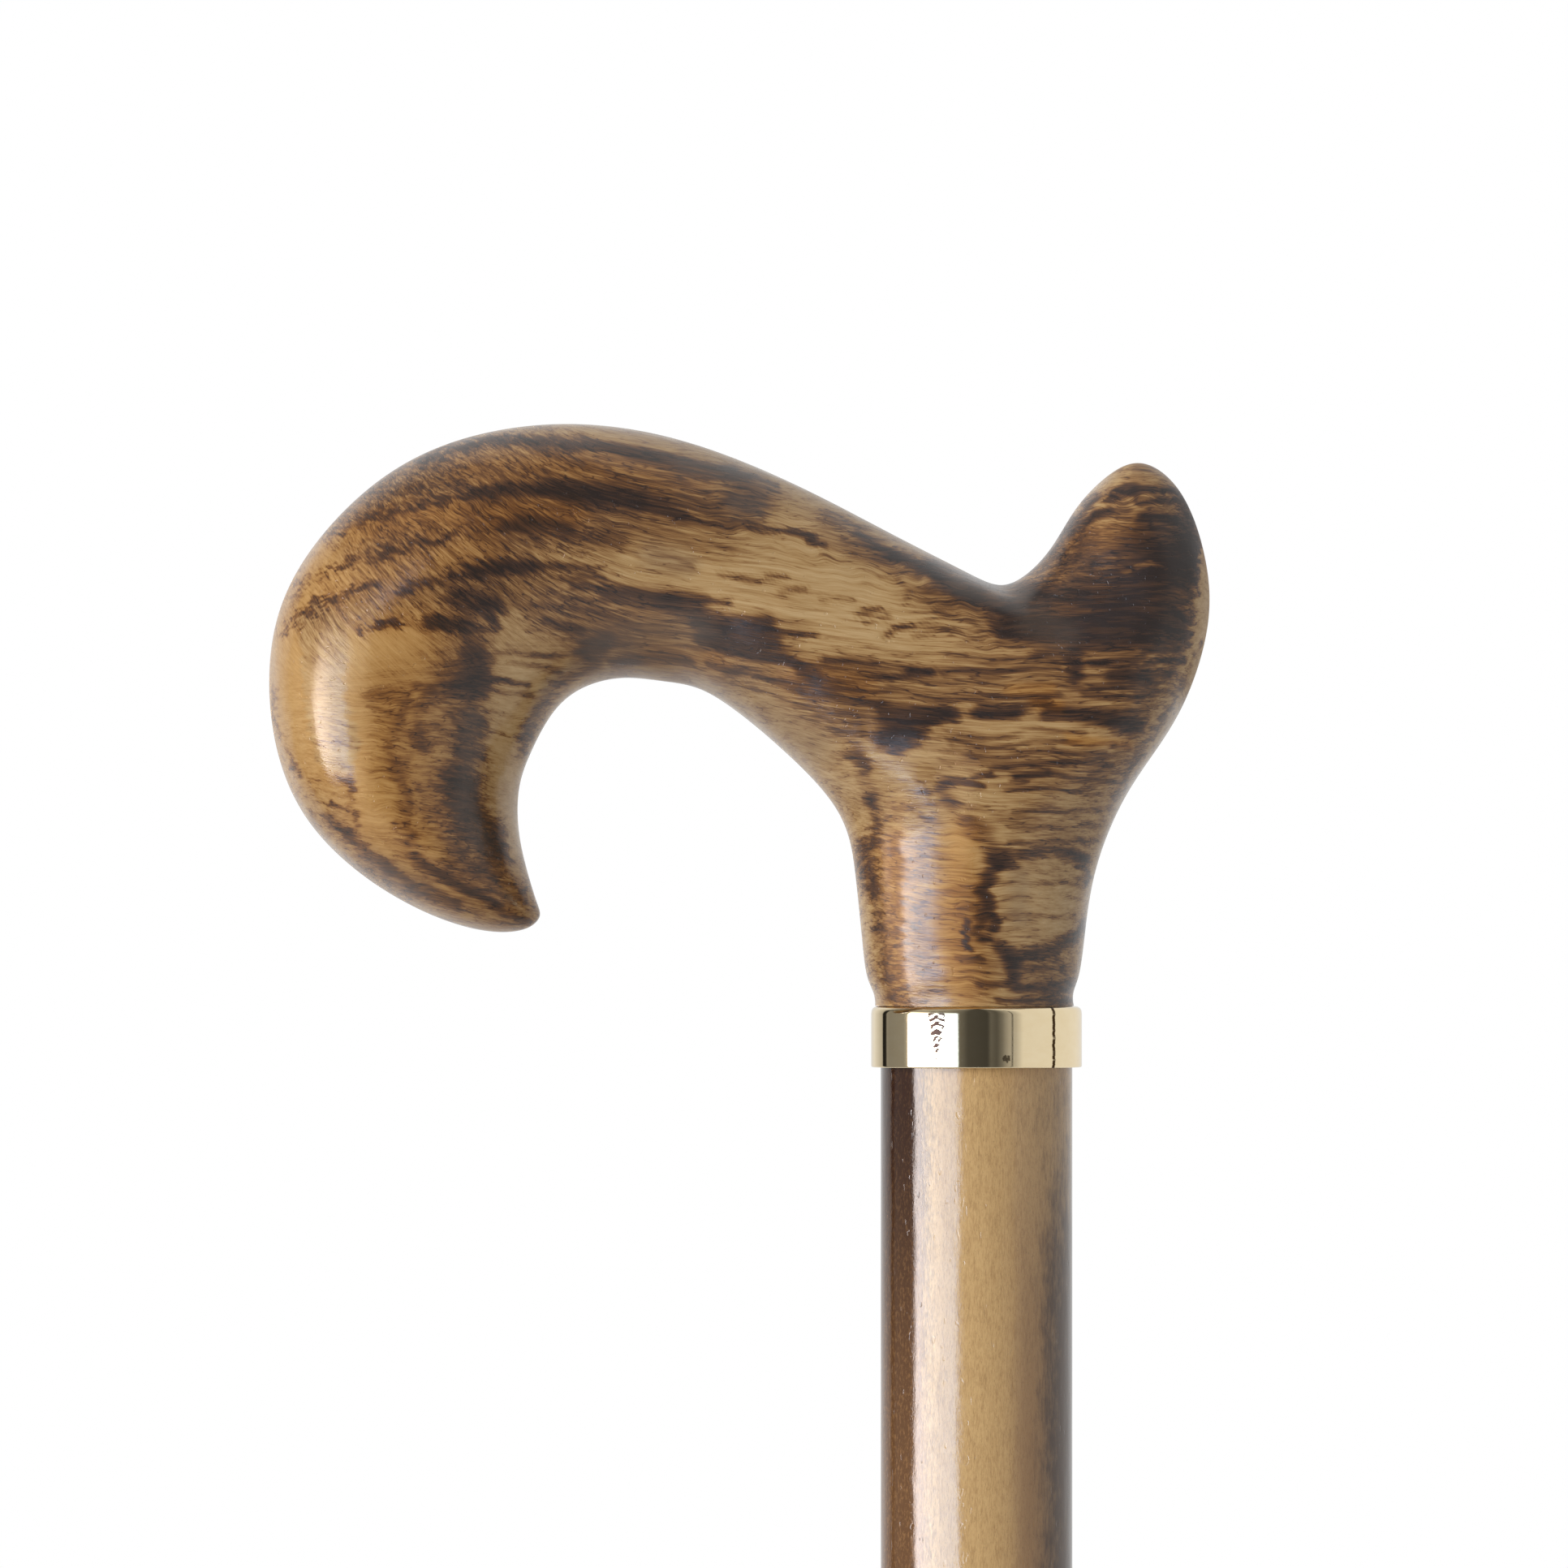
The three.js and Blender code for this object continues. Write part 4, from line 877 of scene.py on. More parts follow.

# Wood with a cold, greyish cast; along the underside, the inner rim, the saddle and the tail's side facet
# the grey is partly a painted sheen
GREY_AND_SHEEN_STROKE_SHARES = (
    (0.35, 0.0104, (0.987, 0.587), (0.965, 0.500), (0.932, 0.413), (0.903, 0.332), (0.882, 0.251)),
    (0.8, 0.0207, (0.349, 0.615), (0.397, 0.628), (0.449, 0.635)),
    (0.7, 0.0224, (0.354, 0.566), (0.440, 0.570), (0.500, 0.534), (0.578, 0.447)),
    (0.6, 0.0121, (0.440, 0.926), (0.526, 0.899)),
    (0.6, 0.0138, (0.406, 0.768), (0.440, 0.754)),
    (0.7, 0.0121, (0.733, 0.723), (0.794, 0.698)),
    (0.6, 0.0104, (0.217, 0.489), (0.207, 0.335), (0.224, 0.279)),
    (0.5, 0.0138, (0.112, 0.237), (0.164, 0.196)),
    (0.6, 0.0121, (0.496, 0.855), (0.518, 0.849)),
    (0.5, 0.0104, (0.794, 0.216), (0.794, 0.147)),
    (0.6, 0.0173, (0.811, 0.656), (0.837, 0.628)),
    (0.7, 0.006, (0.276, 0.468), (0.281, 0.490), (0.302, 0.557), (0.336, 0.602), (0.364, 0.619)),
)

# Wood whose grain is curly
CURL_STROKE_SHARES = (
    (1, 0.0259, (0.121, 0.824), (0.198, 0.852), (0.267, 0.838)),
    (0.8, 0.019, (0.285, 0.852), (0.371, 0.824)),
    (1, 0.0293, (0.492, 0.838), (0.578, 0.796), (0.664, 0.726), (0.751, 0.670)),
    (0.8, 0.0173, (0.733, 0.656), (0.768, 0.628)),
    (1, 0.0173, (0.880, 0.859), (0.958, 0.866)),
    (0.8, 0.0224, (0.733, 0.335), (0.742, 0.196), (0.746, 0.056)),
    (0.85, 0.0293, (0.114, 0.545), (0.121, 0.447), (0.133, 0.335), (0.147, 0.251)),
)

# Where the lacquer has gone dull
DULL_STROKE_SHARES = (
    (1, 0.0173, (0.728, 0.405), (0.724, 0.251), (0.726, 0.126), (0.739, 0.000)),
    (0.95, 0.0086, (0.666, 0.349), (0.662, 0.251), (0.663, 0.126), (0.668, 0.000)),
    (0.8, 0.0104, (0.097, 0.642), (0.096, 0.531), (0.100, 0.433), (0.105, 0.370)),
    (0.5, 0.0138, (0.664, 0.433), (0.708, 0.433)),
    (0.95, 0.0293, (0.923, 0.899), (0.968, 0.838), (0.987, 0.754), (0.992, 0.663), (0.982, 0.573)),
    (0.3, 0.0259, (0.880, 0.838), (0.915, 0.754), (0.940, 0.656), (0.863, 0.642)),
)
STROKE_REACH = 1.75  # a stroke has faded out at this many half widths from its line
CLEARING_REACH = 1.2  # the same for a stroke that clears
STROKE_FADE_SHARE = 0.9  # of a stroke's reach, over which it gets to its full strength
CLEARING_FADE_SHARE = 0.3  # the same for a stroke that clears

# On the far side the figure slides down and back, as it does through a solid block
SLIDE_BACK = 0.25  # for each length of depth
SLIDE_DOWN = 0.40
SLIDE_SOFTNESS = 2 * MM  # depth over which the slide sets in

# The flow of the grain on the handle's side. Shares of the length count from the nose, shares of the
# height from the collar.
BEAK_PIVOT_SHARE = 0.2  # of the length, where the beak's grain turns
BEAK_LENGTH_SHARES = (0.22, 0.36)  # of the length, between which the beak's own grain ends
BEAK_HEIGHT_SHARES = (0.46, 0.62)  # of the height, between which it ends
BEAK_DIP = 0.30  # how steeply it dips towards the tip
NOSE_RISE_SHARES = (0.25, 0.035)  # the grain rises over this share of the length, by this one
TAIL_FALL_SHARES = (0.22, 0.8, 0.06)  # it falls between these shares of the length, by this one
NOSE_LEAN = 1.8  # how steeply the upper grain falls towards the tail at the very nose
LEAN_END_SHARE = 0.41  # of the length, where the upper grain stops leaning
LEAN_LEVEL_SHARES = (0.47, 0.60)  # of the height, between which the lean sets in at the nose
LEAN_TILT_SHARE = 0.27  # of the height, by which these levels would rise over the whole length
LEAN_SHORTENING = 2.2  # how much shorter the fibres get where they lean
WANDER_SIZE = 7 * MM  # how far apart the grain's slow bends are
WANDER_HEIGHT = 0.5 * MM
CURL_SIZE = 2.2 * MM  # the same for the curly grain
CURL_HEIGHT = 0.6 * MM

# The noise starts from the clock unless it is given a seed
FIGURE_SEED = 1

# How the strokes' edges break up along the fibres
FRAY_CELL = np.array((9.0, 2.0, 0.6))  # in millimetres along the grain, deep into it and across it
FRAY_SLIP = 0.7 * MM
LEANING_FRAY_SLIP = 0.6 * MM
FRAY_SPREAD = 0.25 * MM
STROKE_WANDER = (0.3 * MM, 0.2 * MM)  # along the length and up


def ease(value, low, high):
    """A soft step from 0 at the low limit to 1 at the high one."""
    share = np.clip((value - low) / (high - low), 0, 1)
    return share * share * (3 - 2 * share)


def stroke_field(places, strokes, sizes):
    """How strongly the strokes cover each place (x, z in metres from the nose and the collar). They are
    painted in turn, and one with a negative strength clears what it crosses, with a crisp edge."""
    field = np.zeros(len(places))
    scale = np.array((sizes.length, sizes.height))
    for strength, half_width, *line in strokes:
        reach = half_width * sizes.length * (STROKE_REACH if strength > 0 else CLEARING_REACH)
        nearest = np.full(len(places), reach)
        for start, end in zip(line, line[1:]):
            a = np.array(start) * scale
            run = np.array(end) * scale - a
            along = np.clip(((places - a) @ run) / (run @ run), 0, 1)
            nearest = np.minimum(nearest, np.linalg.norm(places - a - along[:, None] * run, axis=1))
        if strength > 0:
            field += (1 - field) * strength * ease(1 - nearest / reach, 0, STROKE_FADE_SHARE)
        else:
            field *= 1 + strength * ease(1 - nearest / reach, 0, CLEARING_FADE_SHARE)
    return field


def store(mesh, name, values):
    """Keeps a number or a vector for each point of the mesh, for a material to read."""
    kind, key = ("FLOAT_VECTOR", "vector") if values.ndim == 2 else ("FLOAT", "value")
    mesh.attributes.new(name, kind, "POINT").data.foreach_set(key, values.ravel())


def wandering(places, size=1.0):
    """A smooth random vector for each place, which changes over the given size."""
    return np.array([noise.noise_vector(Vector(place) / size) for place in places])


def paint_handle(mesh, sizes):
    """Stores the flow of the grain and the painted figure on the mesh, for the material to read."""
    co = np.empty(len(mesh.vertices) * 3)
    mesh.vertices.foreach_get("co", co)
    co = co.reshape(-1, 3)
    depth = co[:, 1]
    behind = 0.5 * (depth + np.sqrt(depth ** 2 + SLIDE_SOFTNESS ** 2)) - SLIDE_SOFTNESS / 2
    x = co[:, 0] + sizes.stem_share * sizes.length + SLIDE_BACK * behind
    z = co[:, 2] - COLLAR_TOP + SLIDE_DOWN * behind
    along, up = x / sizes.length, z / sizes.height
    noise.seed_set(FIGURE_SEED)
    slow = wandering(co, WANDER_SIZE)
    quick = wandering(co, CURL_SIZE)

    # The grain follows the arch a little, dips towards the beak's tip and is curly in places
    beak_start, beak_end = BEAK_LENGTH_SHARES
    beak_foot, beak_top = BEAK_HEIGHT_SHARES
    beak = ease(beak_end - along, 0, beak_end - beak_start) * ease(beak_top - up, 0, beak_top - beak_foot)
    from_pivot = x - BEAK_PIVOT_SHARE * sizes.length
    rise_end, rise = NOSE_RISE_SHARES
    fall_start, fall_end, fall = TAIL_FALL_SHARES
    drop = sizes.length * (
        rise * ease(rise_end - along, 0, rise_end) + fall * ease(along, fall_start, fall_end))
    curl = stroke_field(np.stack((x, z), axis=1), CURL_STROKE_SHARES, sizes)
    across = z + drop + BEAK_DIP * beak * from_pivot
    across += WANDER_HEIGHT * slow[:, 1] + CURL_HEIGHT * curl * quick[:, 2]
    grain = np.stack((co[:, 0] + beak * from_pivot, depth, across), axis=1) / MM
    store(mesh, "grain", grain)

    # Over the nose the upper grain leans towards the tail: a second flow, and where it takes over
    lean = NOSE_LEAN * np.clip(1 - along / LEAN_END_SHARE, 0, None)
    leaning = -0.5 * LEAN_END_SHARE * sizes.length * lean ** 2 / NOSE_LEAN
    leaning_grain = grain + np.outer(leaning / MM, (LEAN_SHORTENING, 0, 1))
    lean_mask = ease(up - LEAN_TILT_SHARE * along, *LEAN_LEVEL_SHARES)
    store(mesh, "leaning_grain", leaning_grain)
    store(mesh, "lean", lean_mask)

    # The strokes' edges break up along the fibres
    stronger_grain = np.where(lean_mask[:, None] > 0.5, leaning_grain, grain)
    fray = wandering(stronger_grain / FRAY_CELL)
    slope = lean * lean_mask
    slip = (FRAY_SLIP + LEANING_FRAY_SLIP * slope) * fray[:, 0] / np.sqrt(1 + slope ** 2)
    stroke_x = x + slip + STROKE_WANDER[0] * slow[:, 0]
    stroke_z = z - slip * slope + FRAY_SPREAD * fray[:, 2] + STROKE_WANDER[1] * slow[:, 2]
    places = np.stack((stroke_x, stroke_z), axis=1)
    for name, strokes in (
        ("scorch", SCORCH_STROKE_SHARES), ("pale", PALE_STROKE_SHARES),
        ("amber", AMBER_STROKE_SHARES), ("grey_and_sheen", GREY_AND_SHEEN_STROKE_SHARES), ("dull", DULL_STROKE_SHARES),
    ):
        store(mesh, name, stroke_field(places, strokes, sizes))


# How high the finishes' fine relief stands
HANDLE_RELIEF = 0.10 * MM
SHAFT_RELIEF = 0.04 * MM
BRASS_RELIEF = 0.004 * MM
ZINC_RELIEF = 0.01 * MM
RUBBER_RELIEF = 0.05 * MM


def handle_wood(settings):
    material, graph, shader = new_material("scorched_lacquered_wood")
    place = millimetres(graph)

    # Two flows of the same fibres, the leaning one over the nose
    level_fibres, leaning_fibres = [
        placed(graph, wood_fibres_group(), grain=graph.attribute(name, "Vector"), fibre_length=9.0,
               fibre_width=0.34, ring_spacing=1.5)
        for name in ("grain", "leaning_grain")]
    lean = graph.attribute("lean")
    fibres = {}
    for name in level_fibres.keys():
        change = graph.math("SUBTRACT", leaning_fibres[name], level_fibres[name])
        fibres[name] = graph.math("MULTIPLY_ADD", lean, change, level_fibres[name])
    scorch = graph.attribute("scorch")
    pale = graph.attribute("pale")
    amber = graph.attribute("amber")
    grey_and_sheen = graph.attribute("grey_and_sheen")

    # How far the flame got, from bare wood at 0 to char at 1: it bites deeper along the soft fibres
    fibre_level = graph.total(
        (fibres["Figure"], 0.26), (fibres["Rings"], 0.18), (fibres["Streaks"], 0.42),
        (fibres["Hairs"], 0.32), (-0.59, 1.0))
    dense = graph.math("MULTIPLY", scorch, scorch)
    bite = graph.total((scorch, 0.52), (dense, -0.58), (pale, -0.06), (amber, -0.10), (0.42, 1.0))
    level = graph.total((scorch, 0.68), (pale, -0.20), (amber, -0.11), (0.28, 1.0))
    level = graph.math("MULTIPLY_ADD", fibre_level, bite, level)
    threads = graph.math("MULTIPLY", fibres["Threads"], graph.step(level, 0.12, 0.5, 0.04, 0.20))
    level = graph.total((fibres["Pores"], 0.07), (threads, 1.0), (level, 1.0))
    toned = graph.ramp(level, [
        (0.00, settings.pale_colour), (0.26, settings.tan_colour), (0.44, settings.warm_colour),
        (0.57, settings.brown_colour), (0.72, settings.dark_colour), (0.96, settings.char_colour)])
    toned = graph.mix(graph.math("MULTIPLY", amber, 0.85), toned, settings.amber_tint, "MULTIPLY")
    # Grey cast, partly painted sheen along the underside, the rims and the saddle
    toned = graph.mix(graph.math("MULTIPLY", grey_and_sheen, 0.45), toned, settings.grey_colour)
    graph.join(toned, shader["Base Color"])

    lacquer = placed(graph, lacquer_group(), place=place, ripple_size=4.0, swell=5.0)
    shader["Specular IOR Level"].default_value = settings.lacquer_shine
    shader["Specular Tint"].default_value = (*settings.lacquer_tint, 1)
    roughness = graph.total(
        (1.0, settings.lacquer_roughness), (lacquer["Dullness"], 0.08), (graph.step(level, 0.6, 1.0), 0.05),
        (graph.attribute("dull"), 0.35))
    graph.join(roughness, shader["Roughness"])
    height = graph.total((lacquer["Height"], 1.0), (fibres["Relief"], 0.3))
    graph.join(graph.bump(height, HANDLE_RELIEF), shader["Normal"])
    return material


def add_piece(name, mesh, material, body, slot, *nodes):
    """A new piece that rides on a body and stands for the named solids."""
    mesh.name = name
    mesh.materials.append(material)
    piece = bpy.data.objects.new(name, mesh)
    bpy.context.scene.collection.objects.link(piece)
    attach(piece, body)
    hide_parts(*nodes)
    return piece


ROUNDING_STEPS = 4


def turned_mesh(name, profile, segments=128):
    """A solid turned round the stick's axis. The profile's corners are (radius, height, rounding), the
    last being how far along each side the corner is rounded. It closes on itself or runs from axis to
    axis."""
    def rounded(before, corner, after):
        middle = Vector(corner[:2])
        rounding = corner[2]
        if not rounding:
            return [middle]
        start = middle + (Vector(before[:2]) - middle).normalized() * rounding
        end = middle + (Vector(after[:2]) - middle).normalized() * rounding
        steps = [i / ROUNDING_STEPS for i in range(ROUNDING_STEPS + 1)]
        return [start.lerp(middle, t).lerp(middle.lerp(end, t), t) for t in steps]

    line = []
    for k, corner in enumerate(profile):
        line += rounded(profile[k - 1], corner, profile[(k + 1) % len(profile)])
    body = bmesh.new()
    rings = []
    for radius, level in line:
        if radius < TINY:
            rings.append([body.verts.new((0, 0, level))] * segments)
            continue
        turns = [2 * math.pi * k / segments for k in range(segments)]
        rings.append([body.verts.new((radius * math.cos(t), radius * math.sin(t), level)) for t in turns])
    for lower, upper in zip(rings, rings[1:] + rings[:1]):
        for k in range(segments):
            corners = [lower[k - 1], lower[k], upper[k], upper[k - 1]]
            corners = [v for i, v in enumerate(corners) if v not in corners[:i]]
            if len(corners) > 2:
                body.faces.new(corners)
    bmesh.ops.recalc_face_normals(body, faces=body.faces)
    return finished_mesh(name, body)


# Marks on the collar: turns in degrees from the front towards the tail, and levels in millimetres
SEAM_TURN = 46.5
SEAM_HALF_WIDTHS = (1.5, 0.7)  # degrees, where the seam starts and where it is darkest
HATCH_TURN = -22.6
HATCH_SPACING = 0.80  # between the rows of the hatched patch
HATCH_LEVELS = (0.5, 6.5)  # above the collar's foot, between which the patch widens
HATCH_HALF_WIDTHS = (0.2, 5.0)  # degrees, at these levels
HATCH_HEADROOM = (0.4, 0.8)  # below the collar's top, between which the patch sets in
BLOT_TURN = 15.7
BLOT_LEVEL = 1.1  # above the collar's foot
BLOT_HALF_WIDTH = 2.8  # degrees
BLOT_HALF_HEIGHT = 0.5


def collar_brass(settings):
    material, graph, shader = new_material("polished_brass")
    place = millimetres(graph)
    lines = graph.noise(graph.stretch(place, (0.05, 0.05, 9.0)), 1.0, 2, 0.6)
    smear = graph.noise(graph.stretch(place, (0.5, 0.5, 0.9)), 1.0, 3, 0.6)
    scratches = graph.step(graph.noise(graph.stretch(place, (1.6, 1.6, 0.45)), 1.0, 1, 0.3), 0.66, 0.70)
    tone = graph.mix(graph.step(smear, 0.3, 0.75, 0, 0.12), settings.brass_colour, settings.tarnish_colour)

    # The strip's seam, a hair-thin uneven line, and a patch of fine level dark hatch marks
    wander = graph.noise(graph.stretch(place, (0, 0, 1.3)), 1.0, 3, 0.6)
    parts = graph.add("ShaderNodeSeparateXYZ", {"Vector": place}).outputs
    turn = graph.math("ARCTAN2", parts["X"], graph.math("MULTIPLY", parts["Y"], -1.0))
    turn = graph.math("DEGREES", turn)
    off_seam = graph.math("ABSOLUTE", graph.total((turn, 1.0), (wander, 3.0), (-1.5 - SEAM_TURN, 1.0)))
    seam = graph.step(off_seam, *SEAM_HALF_WIDTHS)
    seam = graph.math("MULTIPLY", seam, graph.step(wander, 0.32, 0.48, 0.6, 1.0))
    jitter = graph.noise(graph.stretch(place, (0, 0, 2.2)), 1.0, 1, 0.5)
    off_hatch = graph.math("ABSOLUTE", graph.total((turn, 1.0), (jitter, 5.0), (-2.5 - HATCH_TURN, 1.0)))
    low, high = [COLLAR_FOOT / MM + level for level in HATCH_LEVELS]
    width = graph.step(parts["Z"], low, high, *HATCH_HALF_WIDTHS)
    rows = graph.math("SINE", graph.total(
        (parts["Z"], 2 * math.pi / HATCH_SPACING), (off_hatch, 1.0), (jitter, 12.0)))
    patch = graph.step(graph.math("SUBTRACT", off_hatch, width), 0.5, -0.3)
    headroom = [COLLAR_TOP / MM - level for level in HATCH_HEADROOM]
    patch = graph.math("MULTIPLY", patch, graph.step(parts["Z"], *headroom))
    hatch_marks = graph.math("MULTIPLY", patch, graph.step(rows, -0.45, -0.20))

    # A blot of old lacquer close to the foot
    blot_level = COLLAR_FOOT / MM + BLOT_LEVEL
    blot_turn = graph.total((turn, 1 / BLOT_HALF_WIDTH), (-BLOT_TURN / BLOT_HALF_WIDTH, 1.0))
    blot_rise = graph.total((parts["Z"], 1 / BLOT_HALF_HEIGHT), (-blot_level / BLOT_HALF_HEIGHT, 1.0))
    edge = graph.noise(place, 3.2, 2, 0.6)
    away = graph.total((graph.math("MULTIPLY", blot_turn, blot_turn), 1.0),
                       (graph.math("MULTIPLY", blot_rise, blot_rise), 1.0), (edge, 4.0), (-2.0, 1.0))
    blot = graph.step(away, 1.1, 0.3, 0, 0.8)
    tone = graph.mix(hatch_marks, tone, settings.hatch_colour)
    tone = graph.mix(graph.math("MAXIMUM", seam, blot), tone, settings.seam_colour)
    graph.join(tone, shader["Base Color"])
    shader["Metallic"].default_value = 1
    roughness = graph.total(
        (1.0, settings.brass_roughness), (graph.step(smear, 0.4, 0.8), 0.03), (scratches, 0.03),
        (hatch_marks, 0.3), (blot, 0.25))
    graph.join(roughness, shader["Roughness"])
    graph.join(graph.bump(graph.total((lines, 1.0), (smear, 0.5)), BRASS_RELIEF), shader["Normal"])
    return material


# The shaft's bands: the middle's turn from the front towards the tail and the spread, in degrees
BURNT_BAND = (-74, 56)
FAR_BURNT_BAND = (163, 40)
COLD_BAND = (78, 50)
FAR_COLD_BAND = (-140, 30)
WARM_BAND = (38, 22)
# Partly the wood's darker tone, partly painted shade on the side turned away from the key lamp
PAINTED_SHADE_BAND = (58, 58)
# Millimetres below the collar, between which they change
COLD_DEPTHS = (4, 31)
BURNT_DEPTHS = (1, 51)


def shaft_wood(settings):
    material, graph, shader = new_material("stained_shaft_wood")
    place = millimetres(graph)
    parts = graph.add("ShaderNodeSeparateXYZ", {"Vector": place}).outputs
    upright = {"X": parts["Z"], "Y": parts["Y"], "Z": parts["X"]}
    grain = graph.add("ShaderNodeCombineXYZ", upright).outputs[0]
    fibres = placed(graph, wood_fibres_group(), grain=grain, fibre_length=1.8, fibre_width=0.26,
                    ring_spacing=4.0)
    slow = graph.noise(graph.stretch(place, (0.10, 0.10, 0.012)), 1.0, 3, 0.55)
    wander = graph.math("SUBTRACT", slow, 0.5)
    round_place = graph.add("ShaderNodeVectorMath", {0: graph.stretch(place, (1, 1, 0))},
                            operation="NORMALIZE").outputs[0]

    def band(turn, spread):
        """1 along the line at this turn from the front, falling to 0 at the spread, in degrees."""
        towards = (math.sin(math.radians(turn)), -math.cos(math.radians(turn)), 0)
        facing = graph.add("ShaderNodeVectorMath", {0: round_place, 1: towards},
                           operation="DOT_PRODUCT").outputs["Value"]
        facing = graph.math("MULTIPLY_ADD", wander, 0.16, facing)
        return graph.step(facing, math.cos(math.radians(spread)), 1.0)

    def lower_down(depths):
        """Rises from 0 to 1 between two depths below the collar."""
        start, end = [COLLAR_FOOT / MM - depth for depth in depths]
        return graph.step(parts["Z"], start, end)

    burnt = graph.math("MAXIMUM", band(*BURNT_BAND), graph.math("MULTIPLY", band(*FAR_BURNT_BAND), 0.8))
    cold_strength = graph.total((lower_down(COLD_DEPTHS), 0.62), (slow, 0.3), (0.12, 1.0))
    cold = graph.math("MAXIMUM", band(*COLD_BAND), band(*FAR_COLD_BAND))
    cold = graph.math("MULTIPLY", cold, cold_strength)
    warm = graph.math("MULTIPLY", band(*WARM_BAND), lower_down(COLD_DEPTHS))
    veil = graph.total((fibres["Figure"], 0.12), (fibres["Rings"], 0.05), (fibres["Streaks"], 0.30),
                       (fibres["Hairs"], 0.53))
    wood = graph.mix(graph.step(veil, 0.2, 0.9, 0.08, 0.46), settings.wood_colour, settings.figure_and_painted_shade_colour)
    # Painted shade, partly the wood's own darker tone: darkens the side turned away from the key lamp
    wood = graph.mix(graph.math("MULTIPLY", band(*PAINTED_SHADE_BAND), 0.34), wood, settings.figure_and_painted_shade_colour)
    wood = graph.mix(graph.math("MULTIPLY", warm, 0.62), wood, settings.warm_colour)
    cold_mask = placed(graph, ragged_mask_group(), level=cold, streaks=fibres["Streaks"],
                       figure=fibres["Figure"], streak_push=0.2, figure_push=0.2,
                       threshold=0.42, softness=0.40)
    wood = graph.mix(graph.math("MULTIPLY", cold_mask["Mask"], 0.9), wood, settings.grey_colour)

    # The burnt band is dense under the collar and browner, with light flecks, lower down
    flecks = graph.noise(graph.stretch(place, (3.4, 3.4, 1.6)), 1.0, 2, 0.7)
    spent = lower_down(BURNT_DEPTHS)
    fleck_strength = graph.math("MULTIPLY_ADD", spent, 0.5, 0.12)
    flecked = graph.math("MULTIPLY", graph.step(flecks, 0.48, 0.68), fleck_strength)
    stain = graph.mix(graph.math("MULTIPLY", spent, 0.55), settings.stain_colour, settings.warm_colour)
    stain = graph.mix(flecked, stain, settings.figure_and_painted_shade_colour)
    burnt_mask = placed(graph, ragged_mask_group(), level=burnt, streaks=fibres["Hairs"],
                        figure=fibres["Streaks"], streak_push=0.16, figure_push=0.16,
                        threshold=0.36, softness=0.32)
    wood = graph.mix(burnt_mask["Mask"], wood, stain)
    wood = graph.mix(graph.math("MULTIPLY", fibres["Pores"], 0.25), wood, settings.stain_colour)
    graph.join(wood, shader["Base Color"])

    lacquer = placed(graph, lacquer_group(), place=graph.stretch(place, (1, 1, 0.35)), ripple_size=3.0)
    roughness = graph.total((1.0, settings.lacquer_roughness), (lacquer["Dullness"], 0.03))
    graph.join(roughness, shader["Roughness"])
    height = graph.total((lacquer["Height"], 1.7), (fibres["Relief"], 0.28))
    graph.join(graph.bump(height, SHAFT_RELIEF), shader["Normal"])
    return material


def zinc_steel(settings):
    material, graph, shader = new_material("zinc_plated_steel")
    place = millimetres(graph)
    cloud = graph.noise(place, 0.8, 4, 0.6)
    tone = graph.mix(graph.step(cloud, 0.35, 0.65), settings.steel_colour, settings.zinc_colour)
    graph.join(tone, shader["Base Color"])
    shader["Metallic"].default_value = 1
    graph.join(graph.total((1.0, 0.28), (graph.step(cloud, 0.3, 0.7), 0.16)), shader["Roughness"])
    graph.join(graph.bump(graph.noise(place, 3.0, 3, 0.6), ZINC_RELIEF), shader["Normal"])
    return material


DUST_TOP = 14.0  # millimetres above the floor, where the ferrule's splashes of dust end


def moulded_rubber(settings):
    material, graph, shader = new_material("moulded_rubber")
    place = millimetres(graph)
    grit = graph.noise(place, 2.4, 3, 0.6)
    cloud = graph.noise(place, 0.25, 3, 0.6)
    level = graph.add("ShaderNodeSeparateXYZ", {"Vector": place}).outputs["Z"]
    dust_strength = graph.math("MULTIPLY_ADD", graph.step(level, DUST_TOP, 0.0), 0.4, 0.18)
    dust = graph.math("MULTIPLY", graph.step(cloud, 0.42, 0.75), dust_strength)
    graph.join(graph.mix(dust, settings.rubber_colour, settings.dust_colour), shader["Base Color"])
    roughness = graph.total((1.0, 0.58), (graph.step(grit, 0.3, 0.7), 0.14), (dust, 0.3))
    graph.join(roughness, shader["Roughness"])
    graph.join(graph.bump(graph.total((grit, 1.0), (cloud, 0.8)), RUBBER_RELIEF), shader["Normal"])
    return material


def dress_solid(node, material):
    """Gives a solid that stays in view its finish."""
    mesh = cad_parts[node].data
    mesh.materials.clear()
    mesh.materials.append(material)


class StickOperator:
    bl_options = {"REGISTER", "UNDO"}


class STICK_OT_carved_handle(StickOperator, bpy.types.Operator):
    """Carves the derby handle and scorches its figure"""
    bl_idname = "stick.carved_handle"
    bl_label = "Carved Handle"

    def execute(self, context):
        settings = context.scene.stick_handle
        mesh = handle_mesh(settings, context.scene.stick_metal.bore_radius)
        paint_handle(mesh, settings)
        add_piece("carved_handle", mesh, handle_wood(settings), "stick", "handle_wood", "handle")
        return {"FINISHED"}


# Roundings of the turned pieces' edges
COLLAR_FOOT_EDGE = 0.2 * MM
COLLAR_TOP_EDGE = 0.85 * MM
COLLAR_INNER_EDGE = 0.15 * MM
SHAFT_TOP_EDGE = 0.2 * MM
SHAFT_TIP_EDGE = 1.0 * MM
COLLAR_SEGMENTS = 160


